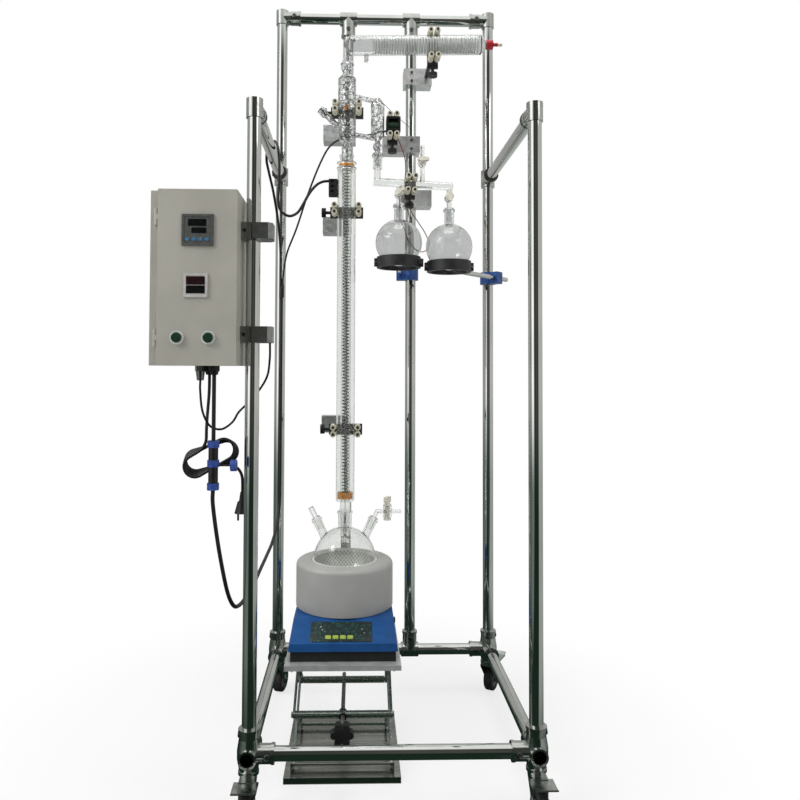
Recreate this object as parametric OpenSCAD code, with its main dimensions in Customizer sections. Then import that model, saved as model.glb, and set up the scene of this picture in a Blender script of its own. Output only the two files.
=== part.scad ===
// Packed distillation column on a wheeled tube frame. Millimetres, +Z up.
// The origin is on the floor under the axis of the glass column.

/* [Frame] */
// Distance between the left and right post axes
frame_w = 640; // [620:5:720]
// Distance between the front and rear post axes
frame_d = 600; // [590:5:680]
// Left post axis from the column axis
post_left_x = -205; // [-220:1:-204]
// Front post axis from the column axis
post_front_y = -350; // [-360:1:-345]
// Outside diameter of the frame tube
tube_d = 32; // [30:0.5:33]
// Wall of the frame tube
tube_wall = 1.5; // [1:0.1:2.5]
// Height of the lower rail axes
rail_low_z = 133; // [130:1:140]
// Height of the upper side rail axes
rail_side_z = 1574; // [1560:1:1580]
// Height of the top rail axis over the condenser axis
head_room = 193.5; // [180:0.5:240]
// Receiver rod axis from the column axis
receiver_rod_x = 195; // [190:1:205]
// Outside diameter of the cast fittings
fitting_d = 42; // [39:0.5:45]
// Length of a fitting sleeve from its crossing point
sleeve_len = 57; // [48:1:66]

/* [Castors] */
// Wheel diameter
wheel_d = 75; // [65:1:78]
// Wheel width
wheel_w = 26; // [20:1:30]
// Distance from the swivel axis to the axle
trail = 28; // [22:1:32]
// Diameter of the swivel stem
stem_d = 12; // [10:0.5:14]
// Diameter of the wheel axle
axle_d = 10; // [8:0.5:12]

/* [Lab jack] */
// Width of the base and of the top plate
jack_w = 280; // [270:1:300]
// Depth of the base and of the top plate
jack_depth = 314; // [300:1:330]
// Front edge of the jack from the column axis
jack_front_y = -234; // [-238:1:-232]
// Distance between the pivots of an arm
arm_len = 233; // [228:1:240]
// Angle of the arms above level
arm_angle = 30.5; // [28:0.5:33]
// Width of an arm
arm_w = 18; // [14:1:20]
// Thickness of an arm
arm_t = 5; // [4:0.5:6]
// Diameter of the pivot pins
pin_d = 8; // [6:0.5:9]
// Diameter of the cross rods
cross_rod_d = 18; // [16:1:20]
// Diameter of the lifting screw
screw_d = 10; // [8:0.5:11]
// Diameter of the star knob
knob_d = 54; // [46:1:58]

/* [Heating mantle] */
// Width of the stirrer base
stirrer_w = 266; // [255:1:275]
// Height of the stirrer base
stirrer_h = 75; // [70:1:85]
// Outside diameter of the mantle shell
shell_d = 260; // [245:1:268]
// Height of the mantle shell
shell_h = 120; // [112:1:125]
// Wall of the mantle shell
shell_wall = 2; // [1.5:0.1:3]
// Thickness of the woven nest
nest_t = 6; // [4:0.5:7]

/* [Glass] */
// Diameter of the boiling flask
flask_d = 166; // [160:1:168]
// Wall of the glass
glass_wall = 2; // [1.6:0.1:2.4]
// Outside diameter of the column jacket
jacket_d = 50; // [47:0.5:54]
// Length of the column jacket
jacket_len = 905; // [880:1:915]
// Outside diameter of the column tube
column_d = 27; // [26:0.5:28]
// Outside diameter of the still head
head_d = 49; // [46:0.5:52]
// Outside diameter of the condenser
condenser_d = 53; // [51:0.5:56]
// Length of the condenser
condenser_len = 392; // [380:1:400]
// Rise of the condenser
condenser_rise = 1.3; // [0:0.1:3]
// Outside diameter of the receiver adapter
adapter_d = 23; // [21:0.5:25]
// Diameter of a receiver flask
receiver_d = 131; // [124:1:134]

/* [Control box] */
// Width of the box
box_w = 190; // [180:1:200]
// Height of the box
box_h = 380; // [360:1:400]
// Depth of the box with its door
box_depth = 180; // [160:1:200]
// Height of the underside of the box
box_z = 990; // [980:1:1000]
// Sheet thickness of the box
box_wall = 2; // [1.5:0.1:3]
// Diameter of a push button
button_d = 22; // [18:0.5:24]

/* [Hidden] */
$fn = 64;

// Clearances: socketed tubes and glass joints, turning shafts, faces that only rest on each other
slip = 0.1;
run_fit = 0.05;
rest_gap = 0.3;
over = 1;

// Frame places
post_right_x = post_left_x + frame_w;
post_rear_y = post_front_y + frame_d;
tube_stop = tube_d / 2 + 2;
lip = 1.5;
lip_len = 7;
corner_drop = 34;
open_socket_d = 28;
open_socket_depth = 16;
elbow_rise = fitting_d / 2 + 1;
elbow_drop = 22;
elbow_roof = 3;
post_head = elbow_rise - elbow_roof - rest_gap;
side_x = [post_left_x, post_right_x];
rod_x = [0, receiver_rod_x];

// Castor places: the top of a fork lies under the corner fitting
caster_top = rail_low_z - corner_drop - rest_gap;
race_d = 46;
race_t = 6;
crown_t = 6;
fork_plate = 3;
fork_gap = 1;
stem_len = 25;
pedal_w = 54;
pedal_len = 46;
pedal_t = 3;
axle_boss_d = 22;
fork_half = wheel_w / 2 + fork_gap + fork_plate;
crown_z = caster_top - race_t - crown_t;

// Jack places. A pair of arms crosses at half length, the outer arm of each pair carries the pin.
base_h = 15;
plate_t = 3;
fold_h = 12;
pivot_rise = 11;
base_pivot_z = base_h + pivot_rise;
stage_h = arm_len * sin(arm_angle);
stage_d = arm_len * cos(arm_angle);
front_pivot_y = jack_front_y + 41;
elbow_z = base_pivot_z + stage_h;
top_pivot_z = base_pivot_z + 2 * stage_h;
jack_top_z = top_pivot_z + pivot_rise + plate_t;
ear_t = 3;
ear_h = pivot_rise + 10;
ear_x = 122;
arm_gap = 1;
outer_arm_x = ear_x - arm_gap - arm_t;
inner_arm_x = outer_arm_x - arm_gap - arm_t;
pin_head_t = 3;
pin_head_d = 14;
lowest_angle = arm_angle - 15;
slide_len = arm_len * cos(lowest_angle) - stage_d;
slot_end = 5;
collar_d = 20;
collar_t = 5;
knob_t = 22;
knob_y = jack_front_y - 66;
screw_tail = 14;

// Mantle places
stirrer_front_y = -212;
stirrer_back_y = 126;
foot_h = 25;
foot_inset = 5;
stirrer_wall = 3;
panel_rise = 44;
panel_back_y = -128;
stirrer_draft = 6;
shell_z = jack_top_z + stirrer_h;
shell_round = 26;
flask_seat = 121;
flask_z = shell_z + flask_seat;
nest_r = flask_d / 2 + rest_gap;
mouth_r = nest_r + nest_t + slip;

// Glass places, all stacked upwards from the flask
neck_d = 36;
neck_top = flask_z + 126;
joint_d = 29.2;
joint_len = 36;
joint_taper = 0.1;
side_neck_d = 24;
side_joint_d = 19;
side_neck_offset = 26;
side_neck_lean = 26;
side_neck_len = 116;
bead_h = 5;
bead = 2.5;
sample_z = flask_z + 125;
sample_d = 12;
nozzle_step = 1;
nozzle_shoulder = 4;
sample_x = 115;
sample_end_x = 153;
plug_d = 14;
plug_hole_d = 4;
barrel_d = 24;
barrel_len = 32;
column_z = flask_z + 154;
column_top = column_z + jacket_len;
socket_d = 36;
socket_len = 40;
drip_len = 30;
terminal_size = [24, 24, 46];
terminal_z = column_top - 51;
head_z = column_top + 4;
head_neck_d = 28;
head_body_z = column_top + 88;
head_body_len = 164;
head_shoulder = 16;
head_top_d = 24;
ball_d = 34;
ball_z = column_top + 285;
well_d = 16;
well_lean = 46;
well_z = column_top + 96;
well_len = 102;
vessel = [86, 50];
vessel_d = 38;
vessel_low = column_top + 112;
vessel_high = column_top + 200;
vessel_turn = atan2(vessel[1], vessel[0]);
vessel_reach = norm(vessel);
arm_tube_d = 14;
upper_arm_z = column_top + 208;
lower_arm_z = column_top + 102;
valve_d = 26;
valve_z = column_top + 80;
condenser_z = column_top + 346;
rail_top_z = condenser_z + head_room;
condenser_start = -8;
condenser_wall = glass_wall;
dome = 14;
coil_tube_d = 7;
coil_turns = 24;
coil_start = 70;
coil_len = 290;
port_d = 13;
port_x = 52;
cap_d = 26;
cap_len = 14;
barb_d = 9;
barb_len = 46;
thread_d = 18;
thread_len = 16;

// Receiver places
receiver_y = vessel[1];
inlet_x = vessel[0];
adapter_fall = 3;
adapter_z = column_top - 20;
inlet_top = column_top + 56;
inlet_d = 32;
vent_x = 213;
vent_z = column_top + 38;
vent_up = 46;
outlets = [[147, column_top - 53, column_top - 87], [289, column_top - 62, column_top - 98]];
outlet_d = 14;
small_joint_d = 19;
small_joint_len = 32;
receiver_neck_d = 28;
receiver_drop = 105;
ring_d = 124;
ring_h = 30;
ring_below = 71;
ring_rod_d = 14;
lug = [11, 14, 22];
boss_offset = 29;
boss_h = 36;
ring_tail = 60;

// Clamps: rod x, height, glass x, glass y, grip, level glass, tilt, block reach to the left and right
clamp_list = [
    [0, column_top + 173, 0, 0, head_d, 0, 0, 75, 24],
    [0, column_top - 110, 0, 0, jacket_d, 0, 0, 75, 24],
    [0, column_z + 190, 0, 0, jacket_d, 0, 0, 75, 24],
    [receiver_rod_x, condenser_height(240), 240, 0, condenser_d, 1, -condenser_rise, 24, 62],
    [receiver_rod_x, column_top + 141, 130, receiver_y, 40, 1, 0, 88, 26],
    [receiver_rod_x, adapter_height(182), 182, receiver_y, adapter_d, 1, adapter_fall, 34, 62]
];
block_h = 50;
block_front = 30;
block_back = 24;
arm_d = 12;
pad_d = 16;
pad_len = 36;
pad_front = -22;
pad_bare = 24;
pad_step = 9.5;
pad_pin_d = 6;
pad_head_d = 8;
pad_head_t = 2;
pad_gap = 0.2;
yoke_t = 12;
yoke_h = 30;
yoke_over = 13;
thumb_d = 26;
thumb_t = 12;
thumb_stem = 12;
solenoid_size = [40, 40, 40];
clamp_solenoid = clamp_list[4];

// Control box places
box_right_x = post_left_x - tube_d / 2 - 8;
box_left_x = box_right_x - box_w;
box_front_y = post_front_y - 80;
box_back_y = box_front_y + box_depth;
door_t = 18;
door_gap = 0.4;
hinge_strip = 20;
door_left_x = box_left_x + hinge_strip;
knuckle_d = 8;
knuckle_len = 12;
hinge_pin_d = 5;
hinge_x = door_left_x - knuckle_d / 2 - 0.5;
hinge_y = box_front_y + knuckle_d / 2;
hinge_zs = [box_z + 60, box_z + box_h - 60];
rim_y = box_front_y + door_t + door_gap;
upper_meter = [door_left_x + 86, box_z + 291, 68, 68];
lower_meter = [door_left_x + 83, box_z + 172, 51, 51];
meters = [upper_meter, lower_meter];
bezel_t = 4;
bezel_edge = 3;
meter_depth = 60;
button_x = [door_left_x + 44, door_left_x + 111];
button_z = box_z + 60;
button_ring_d = 30;
button_ring_t = 4;
button_travel = 4;
button_reach = 24;
box_clamp_z = [box_z + 70, box_z + 302];
box_clamp_h = 36;
box_clamp_d = 56;
box_clamp_right = 46;
box_clamp_slit = 1.5;
earth_gland = [box_left_x + 107, box_front_y + 38];
lead_gland = [box_left_x + 137, box_front_y + 38];
power_gland = [box_left_x + 120, box_front_y + 73];
gland_drop = 32;
short_gland_drop = 20;

// Cords. Points are chosen by hand, in this frame, and curves pass through them.
lead_d = 9;
heater_lead_d = 7.5;
solenoid_lead_d = 5.5;
earth_lead_d = 5;
cord_d = 7;
connector_top = 827;
connector_low = 720;
splitter_low = 1200;
splitter_high = 1230;
lead_at = [lead_gland[0], lead_gland[1]];
splitter_at = [-199, 226];
gland_route = [
    [lead_at[0], lead_at[1], box_z - short_gland_drop],
    [lead_at[0], lead_at[1], 930],
    [lead_at[0], lead_at[1], 860],
    [lead_at[0], lead_at[1], connector_top]
];
trunk_route = [
    [lead_at[0], lead_at[1], connector_low], [lead_at[0], lead_at[1], 690], [-273, -390, 620],
    [-262, -383, 550], [-252, -367, 490], [-244, -338, 454], [-238, -298, 441], [-231, -240, 441],
    [-224, -160, 448], [-220, -50, 458], [-216, 60, 468], [-212, 140, 480], [-206, 195, 512],
    [-200, 221, 570], [-199, 226, 650], [-199, 226, 800], [-199, 226, 950], [-199, 226, 1100],
    [-199, 226, splitter_low]
];
heater_route = [
    [-202, 226, splitter_high], [-202, 226, 1260], [-203, 224, 1340], [-208, 205, 1420], [-217, 150, 1500],
    [-225, 98, 1548], [-228, 64, 1575], [-221, 32, 1597], [-208, 0, 1605], [-193, -30, 1598],
    [-183, -50, 1572], [-179, -57, 1528], [-180, -55, 1475], [-182, -52, 1435], [-175, -47, 1407],
    [-154, -40, 1394], [-132, -31, 1405], [-116, -24, 1432], [-101, -16, 1462], [-83, -8, 1486],
    [-66, -3, 1497], [-terminal_size[0] - jacket_d / 2, 0, 1500]
];
solenoid_route = [
    [-195, 226, splitter_high], [-195, 225, 1260], [-182, 205, 1330], [-150, 165, 1400], [-116, 130, 1490],
    [-78, 108, 1580], [-48, 96, 1628], [-10, 90, 1648], [35, 86, 1652], [66, 80, 1656], [88, 73, 1660],
    [110, 67, 1662]
];
earth_route = [
    [earth_gland[0], earth_gland[1], box_z - gland_drop], [earth_gland[0], earth_gland[1], 935],
    [-307, -389, 890], [-292, -381, 858], [-269, -370, 850], [-248, -354, 864], [-237, -336, 885],
    [-222, -320, 902], [-200, -315, 926], [-176, -318, 965], [-168, -334, 1005], [-167, -340, box_z + 52]
];
hank_loops = 5;
hank_half = 36;
hank_r = 24;
hank_tilt = 22;
hank_fan = 4;
hank_step = 8.5;
hank_first = 0.06;
hank_last = 4.5;
hank_centre = [-297, -366, 786];
hank_rings = 24;
plug_at = [-230, -312];
plug_top = 702.5;
hank_lap = 4 * hank_half + 2 * PI * hank_r;
hank_in = unit(hank_point(hank_first + 0.002) - hank_point(hank_first));
hank_out = unit(hank_point(hank_last) - hank_point(hank_last - 0.002));
cord_start_route = [
    [power_gland[0], power_gland[1], box_z - short_gland_drop], [power_gland[0], power_gland[1], 945],
    [-299.6, -358, 922], [-300.9, -360.3, 897], [-302.1, -362.8, 873], [-302.7, -364.8, 852],
    [-302.8, -365.5, 836.2], [-303.1, -365.5, 826.6], [-305.4, -365.5, 817.4], [-310, -365.5, 809.1],
    [-316.7, -365.5, 802.4], hank_point(hank_first) - rest_gap * hank_in
];
cord_end_route = [
    hank_point(hank_last) + rest_gap * hank_out, [-284.4, -327.8, 764.4], [-274.1, -327.2, 766.7],
    [-263.5, -325.8, 767.5], [-253.2, -323.7, 765.3], [-244, -321.2, 760.1], [-236.7, -318.6, 752.4],
    [-232.1, -316.1, 743], [-230.2, -314, 732.5], [-230, -312.5, 722], [-230, -312, 711.5],
    [plug_at[0], plug_at[1], plug_top]
];

// Heights of the two tilted tubes above a place along X
function condenser_height(x) = condenser_z + x * tan(condenser_rise);
function adapter_height(x) = adapter_z - (x - inlet_x) * tan(adapter_fall);

// Tubes swept along points: each ring lies square to the route
function unit(v) = v / norm(v);
function tangent(p, i) = unit(p[min(i + 1, len(p) - 1)] - p[max(i - 1, 0)]);
function square_to(n, t) = unit(n - (n * t) * t);
function first_normal(t) = square_to(abs(t[2]) < 0.9 ? [0, 0, 1] : [1, 0, 0], t);
function normals(p) = [
    for (i = 0, n = first_normal(tangent(p, 0)); i < len(p); i = i + 1, n = square_to(n, tangent(p, i))) n
];
function blend4(a, b, c, d, t) =
    0.5 * (2 * b + (c - a) * t + (2 * a - 5 * b + 4 * c - d) * t * t + (3 * b - a - 3 * c + d) * t * t * t);
function curve(p, steps) = [
    for (i = [0 : len(p) - 2], k = [0 : steps - 1])
        blend4(p[max(i - 1, 0)], p[i], p[i + 1], p[min(i + 2, len(p) - 1)], k / steps),
    p[len(p) - 1]
];

module cord(p, d, sides) {
    ns = normals(p);
    last = len(p) - 1;
    ring_points = [
        for (i = [0 : last])
            let (t = tangent(p, i), n = square_to(ns[i], t), b = cross(t, n))
                for (k = [0 : sides - 1]) p[i] + d / 2 * (cos(360 * k / sides) * n + sin(360 * k / sides) * b)
    ];
    walls = [
        for (i = [0 : last - 1], k = [0 : sides - 1])
            let (a = i * sides + k, b = i * sides + (k + 1) % sides)
                each [[a, a + sides, b + sides], [a, b + sides, b]]
    ];
    first_cap = [for (k = [1 : sides - 2]) [0, k, k + 1]];
    last_cap = [for (k = [1 : sides - 2]) [last * sides, last * sides + k + 1, last * sides + k]];
    polyhedron(ring_points, concat(walls, first_cap, last_cap));
}

// One lap of the hank: two straight runs and two round ends
function lap_point(s) =
    s < hank_half ? [s, hank_r]
    : s < hank_half + PI * hank_r
        ? [hank_half + hank_r * sin((s - hank_half) / hank_r * 180 / PI),
           hank_r * cos((s - hank_half) / hank_r * 180 / PI)]
    : s < 3 * hank_half + PI * hank_r ? [2 * hank_half + PI * hank_r - s, -hank_r]
    : s < 3 * hank_half + 2 * PI * hank_r
        ? [-hank_half - hank_r * sin((s - 3 * hank_half) / hank_r * 180 / PI - 180),
           -hank_r * cos((s - 3 * hank_half) / hank_r * 180 / PI - 180)]
    : [s - hank_lap, hank_r];
function hank_point(turn) =
    let (q = lap_point((turn - floor(turn)) * hank_lap), a = hank_tilt - hank_fan * (turn - hank_loops / 2))
        hank_centre + [-q[0] * cos(a) - q[1] * sin(a), hank_step * turn, q[1] * cos(a) - q[0] * sin(a)];
hank_route = [
    for (i = [0 : hank_loops * hank_rings])
        hank_point(hank_first + (hank_last - hank_first) * i / hank_loops / hank_rings)
];

// Coil of the condenser and wire helix of the packing, along +Z from the start
function helix(r, pitch, turns, rings) = [
    for (i = [0 : turns * rings])
        [r * cos(360 * i / rings), r * sin(360 * i / rings), pitch * i / rings]
];
coil_r = condenser_d / 2 - condenser_wall - rest_gap - coil_tube_d / 2;
coil_pitch = coil_len / coil_turns;
packing_wire = 2.4;
packing_turns = 50;
packing_r = column_d / 2 - glass_wall - rest_gap - packing_wire / 2;
packing_len = jacket_len - 20;
packing_pitch = packing_len / packing_turns;
helix_rings = 8;

// Directions
module along_x() {
    rotate([0, 90, 0]) children();
}
module along_y() {
    rotate([-90, 0, 0]) children();
}

module tube(d, wall, length) {
    difference() {
        cylinder(d = d, h = length);
        translate([0, 0, -over]) cylinder(d = d - 2 * wall, h = length + 2 * over);
    }
}

// Frame

module posts() color([0.75, 0.76, 0.76]) {
    for (x = side_x) {
        translate([x, post_rear_y, rail_low_z + tube_stop])
            tube(tube_d, tube_wall, rail_top_z + post_head - rail_low_z - tube_stop);
        translate([x, post_front_y, rail_low_z + tube_stop])
            tube(tube_d, tube_wall, rail_side_z + post_head - rail_low_z - tube_stop);
    }
}

module support_rods() color([0.75, 0.76, 0.76]) {
    for (x = rod_x)
        translate([x, post_rear_y, rail_low_z + tube_stop])
            tube(tube_d, tube_wall, rail_top_z - rail_low_z - 2 * tube_stop);
}

module rails() color([0.75, 0.76, 0.76]) {
    for (place = [[post_rear_y, rail_top_z], [post_rear_y, rail_low_z], [post_front_y, rail_low_z]])
        translate([post_left_x + tube_stop, place[0], place[1]])
            along_x() tube(tube_d, tube_wall, frame_w - 2 * tube_stop);
    for (x = side_x, z = [rail_low_z, rail_side_z])
        translate([x, post_front_y + tube_stop, z])
            along_y() tube(tube_d, tube_wall, frame_d - 2 * tube_stop);
}

module sleeve(start) {
    translate([0, 0, start]) cylinder(d = fitting_d, h = sleeve_len - start);
    translate([0, 0, sleeve_len - lip_len]) cylinder(d = fitting_d + 2 * lip, h = lip_len);
}

module socket() {
    translate([0, 0, tube_stop]) cylinder(d = tube_d + 2 * slip, h = sleeve_len);
}

// The corner at the foot of a post: x_way and y_way are +1 or -1, towards the rails
module corner_fitting(x_way, y_way) {
    hub_r = fitting_d / 2 + 5;
    stub = hub_r + 6;
    difference() {
        union() {
            rotate_extrude() polygon([
                [0, -corner_drop], [fitting_d / 2, -corner_drop], [hub_r, -8], [hub_r, 10],
                [fitting_d / 2 + 1, 36], [fitting_d / 2 + 1, sleeve_len - lip_len],
                [fitting_d / 2 + 1 + lip, sleeve_len - lip_len], [fitting_d / 2 + 1 + lip, sleeve_len],
                [0, sleeve_len]
            ]);
            rotate([0, 90 * x_way, 0]) sleeve(0);
            rotate([-90 * y_way, 0, 0]) sleeve(0);
            rotate([90 * y_way, 0, 0]) cylinder(d = fitting_d - 2, h = stub);
        }
        socket();
        rotate([0, 90 * x_way, 0]) socket();
        rotate([-90 * y_way, 0, 0]) socket();
        rotate([90 * y_way, 0, 0])
            translate([0, 0, stub - open_socket_depth])
                cylinder(d = open_socket_d, h = open_socket_depth + over);
        translate([0, 0, -corner_drop - over]) cylinder(d = stem_d + 2 * run_fit, h = stem_len + over);
    }
}

module base_corner_fittings() color([0.62, 0.64, 0.63]) {
    for (x = side_x, y = [post_front_y, post_rear_y])
        translate([x, y, rail_low_z])
            corner_fitting(x == post_left_x ? 1 : -1, y == post_front_y ? 1 : -1);
}

// An elbow caps a post and has a sleeve for a rail along the turned +X
module elbow_fitting(turn) {
    cap_d = tube_d + 6;
    rotate([0, 0, turn]) difference() {
        union() {
            translate([0, 0, -elbow_drop]) cylinder(d = cap_d, h = elbow_drop + elbow_rise);
            along_x() cylinder(d1 = cap_d - 2, d2 = fitting_d - 1, h = sleeve_len / 2);
            along_x() sleeve(sleeve_len / 2 - over);
        }
        translate([0, 0, -elbow_drop - over])
            cylinder(d = tube_d + 2 * slip, h = elbow_drop + over + elbow_rise - elbow_roof);
        along_x() socket();
    }
}

module elbow_fittings() color([0.62, 0.64, 0.63]) {
    translate([post_left_x, post_rear_y, rail_top_z]) elbow_fitting(0);
    translate([post_right_x, post_rear_y, rail_top_z]) elbow_fitting(180);
    for (x = side_x) translate([x, post_front_y, rail_side_z]) elbow_fitting(90);
}

// A tee slides on a tube along Z and takes a branch tube along +X
module tee_fitting() {
    tee_len = fitting_d + 10;
    difference() {
        union() {
            translate([0, 0, -tee_len / 2]) cylinder(d = fitting_d, h = tee_len);
            along_x() sleeve(0);
        }
        translate([0, 0, -tee_len / 2 - over]) cylinder(d = tube_d + 2 * slip, h = tee_len + 2 * over);
        along_x() socket();
    }
}

module tee_fittings() color([0.62, 0.64, 0.63]) {
    for (x = side_x) translate([x, post_rear_y, rail_side_z]) rotate([0, 0, -90]) tee_fitting();
    for (x = rod_x) {
        translate([x, post_rear_y, rail_top_z]) rotate([0, 90, 0]) tee_fitting();
        translate([x, post_rear_y, rail_low_z]) rotate([0, -90, 0]) tee_fitting();
    }
}

// Castors. The fork trails along +X before it is turned on its stem.

module fork() {
    wheel_z = wheel_d / 2;
    crown_half = fork_half - 1;
    crown_front = trail + 14;
    boss_t = fork_plate + 1.5;
    neck_half = axle_boss_d / 2 - 2;
    translate([0, 0, caster_top - over]) cylinder(d = stem_d, h = stem_len);
    translate([0, 0, caster_top - race_t - over]) cylinder(d = race_d, h = race_t + over);
    translate([-race_d / 2 - 1, -crown_half, crown_z])
        cube([race_d / 2 + 1 + crown_front, 2 * crown_half, crown_t]);
    for (side = [-1, 1]) {
        translate([0, side * (fork_half - fork_plate / 2) + fork_plate / 2, 0]) rotate([90, 0, 0])
            linear_extrude(fork_plate) polygon([
                [-race_d / 2 + 2, crown_z + crown_t - 1.5], [crown_front - 2, crown_z + crown_t - 1.5],
                [trail + neck_half, wheel_z], [trail - neck_half, wheel_z],
                [-race_d / 2 + 2, crown_z - 3]
            ]);
        translate([trail, side * (fork_half - fork_plate + boss_t / 2) + boss_t / 2, wheel_z])
            rotate([90, 0, 0]) cylinder(d = axle_boss_d, h = boss_t);
    }
    translate([trail, fork_half + 4, wheel_z]) rotate([90, 0, 0]) cylinder(d = axle_d, h = 2 * fork_half + 8);
    translate([trail + 8, -pedal_w / 2, crown_z + 1.5]) {
        cube([pedal_len, pedal_w, pedal_t]);
        translate([pedal_len - 3, 2, 0.5]) rotate([0, -24, 0]) cube([16, pedal_w - 4, pedal_t]);
    }
}

module caster(x, y, turn) color([0.72, 0.73, 0.73]) translate([x, y, 0]) rotate([0, 0, turn]) fork();

front_turn = -90;
rear_left_turn = 75;
rear_right_turn = 60;
module caster_front_left() caster(post_left_x, post_front_y, front_turn);
module caster_front_right() caster(post_right_x, post_front_y, front_turn);
module caster_rear_left() caster(post_left_x, post_rear_y, rear_left_turn);
module caster_rear_right() caster(post_right_x, post_rear_y, rear_right_turn);

module wheel(x, y, turn) color([0.06, 0.06, 0.06]) {
    tread = 5;
    web_r = wheel_d / 2 - 12;
    web_in = 5;
    translate([x, y, 0]) rotate([0, 0, turn]) translate([trail, 0, wheel_d / 2]) rotate([90, 0, 0])
        rotate_extrude() difference() {
            union() {
                translate([axle_d / 2 + run_fit, -wheel_w / 2])
                    square([wheel_d / 2 - tread - axle_d / 2 - run_fit, wheel_w]);
                translate([wheel_d / 2 - tread - over, tread - wheel_w / 2])
                    square([tread + over, wheel_w - 2 * tread]);
                for (side = [-1, 1])
                    translate([wheel_d / 2 - tread, side * (wheel_w / 2 - tread)]) circle(r = tread);
            }
            for (side = [-1, 1])
                translate([axle_d / 2 + 7, side * wheel_w / 2 - web_in])
                    square([web_r - axle_d / 2 - 7, 2 * web_in]);
        }
}

module wheel_front_left() wheel(post_left_x, post_front_y, front_turn);
module wheel_front_right() wheel(post_right_x, post_front_y, front_turn);
module wheel_rear_left() wheel(post_left_x, post_rear_y, rear_left_turn);
module wheel_rear_right() wheel(post_right_x, post_rear_y, rear_right_turn);

// Lab jack

// Cheek of the base or of the top plate, with the slot that the sliding pin runs in
module jack_ear(side) {
    slot_h = pin_d + 2 * rest_gap;
    slot_y = front_pivot_y + stage_d;
    x = side > 0 ? ear_x : -ear_x - ear_t;
    difference() {
        translate([x, front_pivot_y - 16, -ear_h + pivot_rise])
            cube([ear_t, stage_d + slide_len + 34, ear_h]);
        translate([x - over, slot_y, 0]) along_x() cylinder(d = slot_h, h = ear_t + 2 * over);
        translate([x - over, slot_y, -slot_h / 2]) cube([ear_t + 2 * over, slide_len + slot_end, slot_h]);
        translate([x - over, slot_y + slide_len + slot_end, 0])
            along_x() cylinder(d = slot_h, h = ear_t + 2 * over);
    }
}

module jack_base() color([0.55, 0.56, 0.55]) {
    translate([-jack_w / 2, jack_front_y, 0]) cube([jack_w, jack_depth, base_h]);
    for (side = [-1, 1]) translate([0, 0, base_pivot_z]) mirror([0, 0, 1]) jack_ear(side);
    translate([-ear_x - ear_t, front_pivot_y, base_pivot_z])
        along_x() cylinder(d = pin_d, h = 2 * (ear_x + ear_t));
}

module jack_top() color([0.5, 0.52, 0.52]) {
    difference() {
        translate([-jack_w / 2, jack_front_y, jack_top_z - fold_h]) cube([jack_w, jack_depth, fold_h]);
        translate([-jack_w / 2 + plate_t, jack_front_y + plate_t, jack_top_z - fold_h - over])
            cube([jack_w - 2 * plate_t, jack_depth - 2 * plate_t, fold_h - plate_t + over]);
    }
    for (side = [-1, 1]) translate([0, 0, top_pivot_z]) jack_ear(side);
    translate([-ear_x - ear_t, front_pivot_y, top_pivot_z])
        along_x() cylinder(d = pin_d, h = 2 * (ear_x + ear_t));
}

// Blank of an arm along +Y from its first pivot, between x and x + arm_t
module arm_blank(x) {
    translate([x, 0, -arm_w / 2]) cube([arm_t, arm_len, arm_w]);
    for (y = [0, arm_len]) translate([x, y, 0]) along_x() cylinder(d = arm_w, h = arm_t);
}

module pivot_hole(x, y) {
    translate([x - over, y, 0]) along_x() cylinder(d = pin_d + 2 * run_fit, h = arm_t + 2 * over);
}

// Arms of one pair: holes are at the listed places, pins and rods are joined to the blank
module arm_pair(x_near, holes) {
    for (x = [x_near, -x_near - arm_t]) difference() {
        arm_blank(x);
        for (y = holes) pivot_hole(x, y);
    }
}

module outer_mid_pins() {
    pin_reach = 2 * arm_t + 2 * arm_gap;
    for (side = [-1, 1]) {
        near = side > 0 ? outer_arm_x + arm_t - pin_reach : -outer_arm_x - arm_t;
        head = side > 0 ? near - pin_head_t : near + pin_reach;
        translate([near, arm_len / 2, 0]) along_x() cylinder(d = pin_d, h = pin_reach);
        translate([head, arm_len / 2, 0]) along_x() cylinder(d = pin_head_d, h = pin_head_t);
    }
}

module sliding_rod(y) {
    translate([-ear_x - ear_t, y, 0]) along_x() cylinder(d = pin_d, h = 2 * (ear_x + ear_t));
}

module lower_arm_b() color([0.3, 0.34, 0.32]) translate([0, front_pivot_y, base_pivot_z])
    rotate([arm_angle, 0, 0]) {
        arm_pair(outer_arm_x, [0, arm_len]);
        outer_mid_pins();
    }

module lower_arm_a() color([0.34, 0.38, 0.36]) translate([0, front_pivot_y + stage_d, base_pivot_z])
    rotate([180 - arm_angle, 0, 0]) {
        arm_pair(inner_arm_x, [arm_len / 2, arm_len]);
        sliding_rod(0);
    }

module upper_arm_d() color([0.34, 0.38, 0.36]) translate([0, front_pivot_y + stage_d, elbow_z])
    rotate([180 - arm_angle, 0, 0]) arm_pair(inner_arm_x, [0, arm_len / 2, arm_len]);

module upper_arm_c() color([0.3, 0.34, 0.32]) translate([0, front_pivot_y, elbow_z])
    rotate([arm_angle, 0, 0]) {
        arm_pair(outer_arm_x, [0]);
        outer_mid_pins();
        sliding_rod(arm_len);
    }

// Cross rod with a journal through both arms at each end and a hole for the screw
module trunnion(y) {
    journal = inner_arm_x - arm_gap;
    reach = outer_arm_x + arm_t + arm_gap;
    translate([0, y, elbow_z]) difference() {
        union() {
            translate([-journal, 0, 0]) along_x() cylinder(d = cross_rod_d, h = 2 * journal);
            translate([-reach, 0, 0]) along_x() cylinder(d = pin_d, h = 2 * reach);
            for (x = [-reach - pin_head_t, reach])
                translate([x, 0, 0]) along_x() cylinder(d = pin_head_d, h = pin_head_t);
        }
        translate([0, -cross_rod_d, 0]) along_y() cylinder(d = screw_d + 2 * run_fit, h = 2 * cross_rod_d);
    }
}

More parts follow.
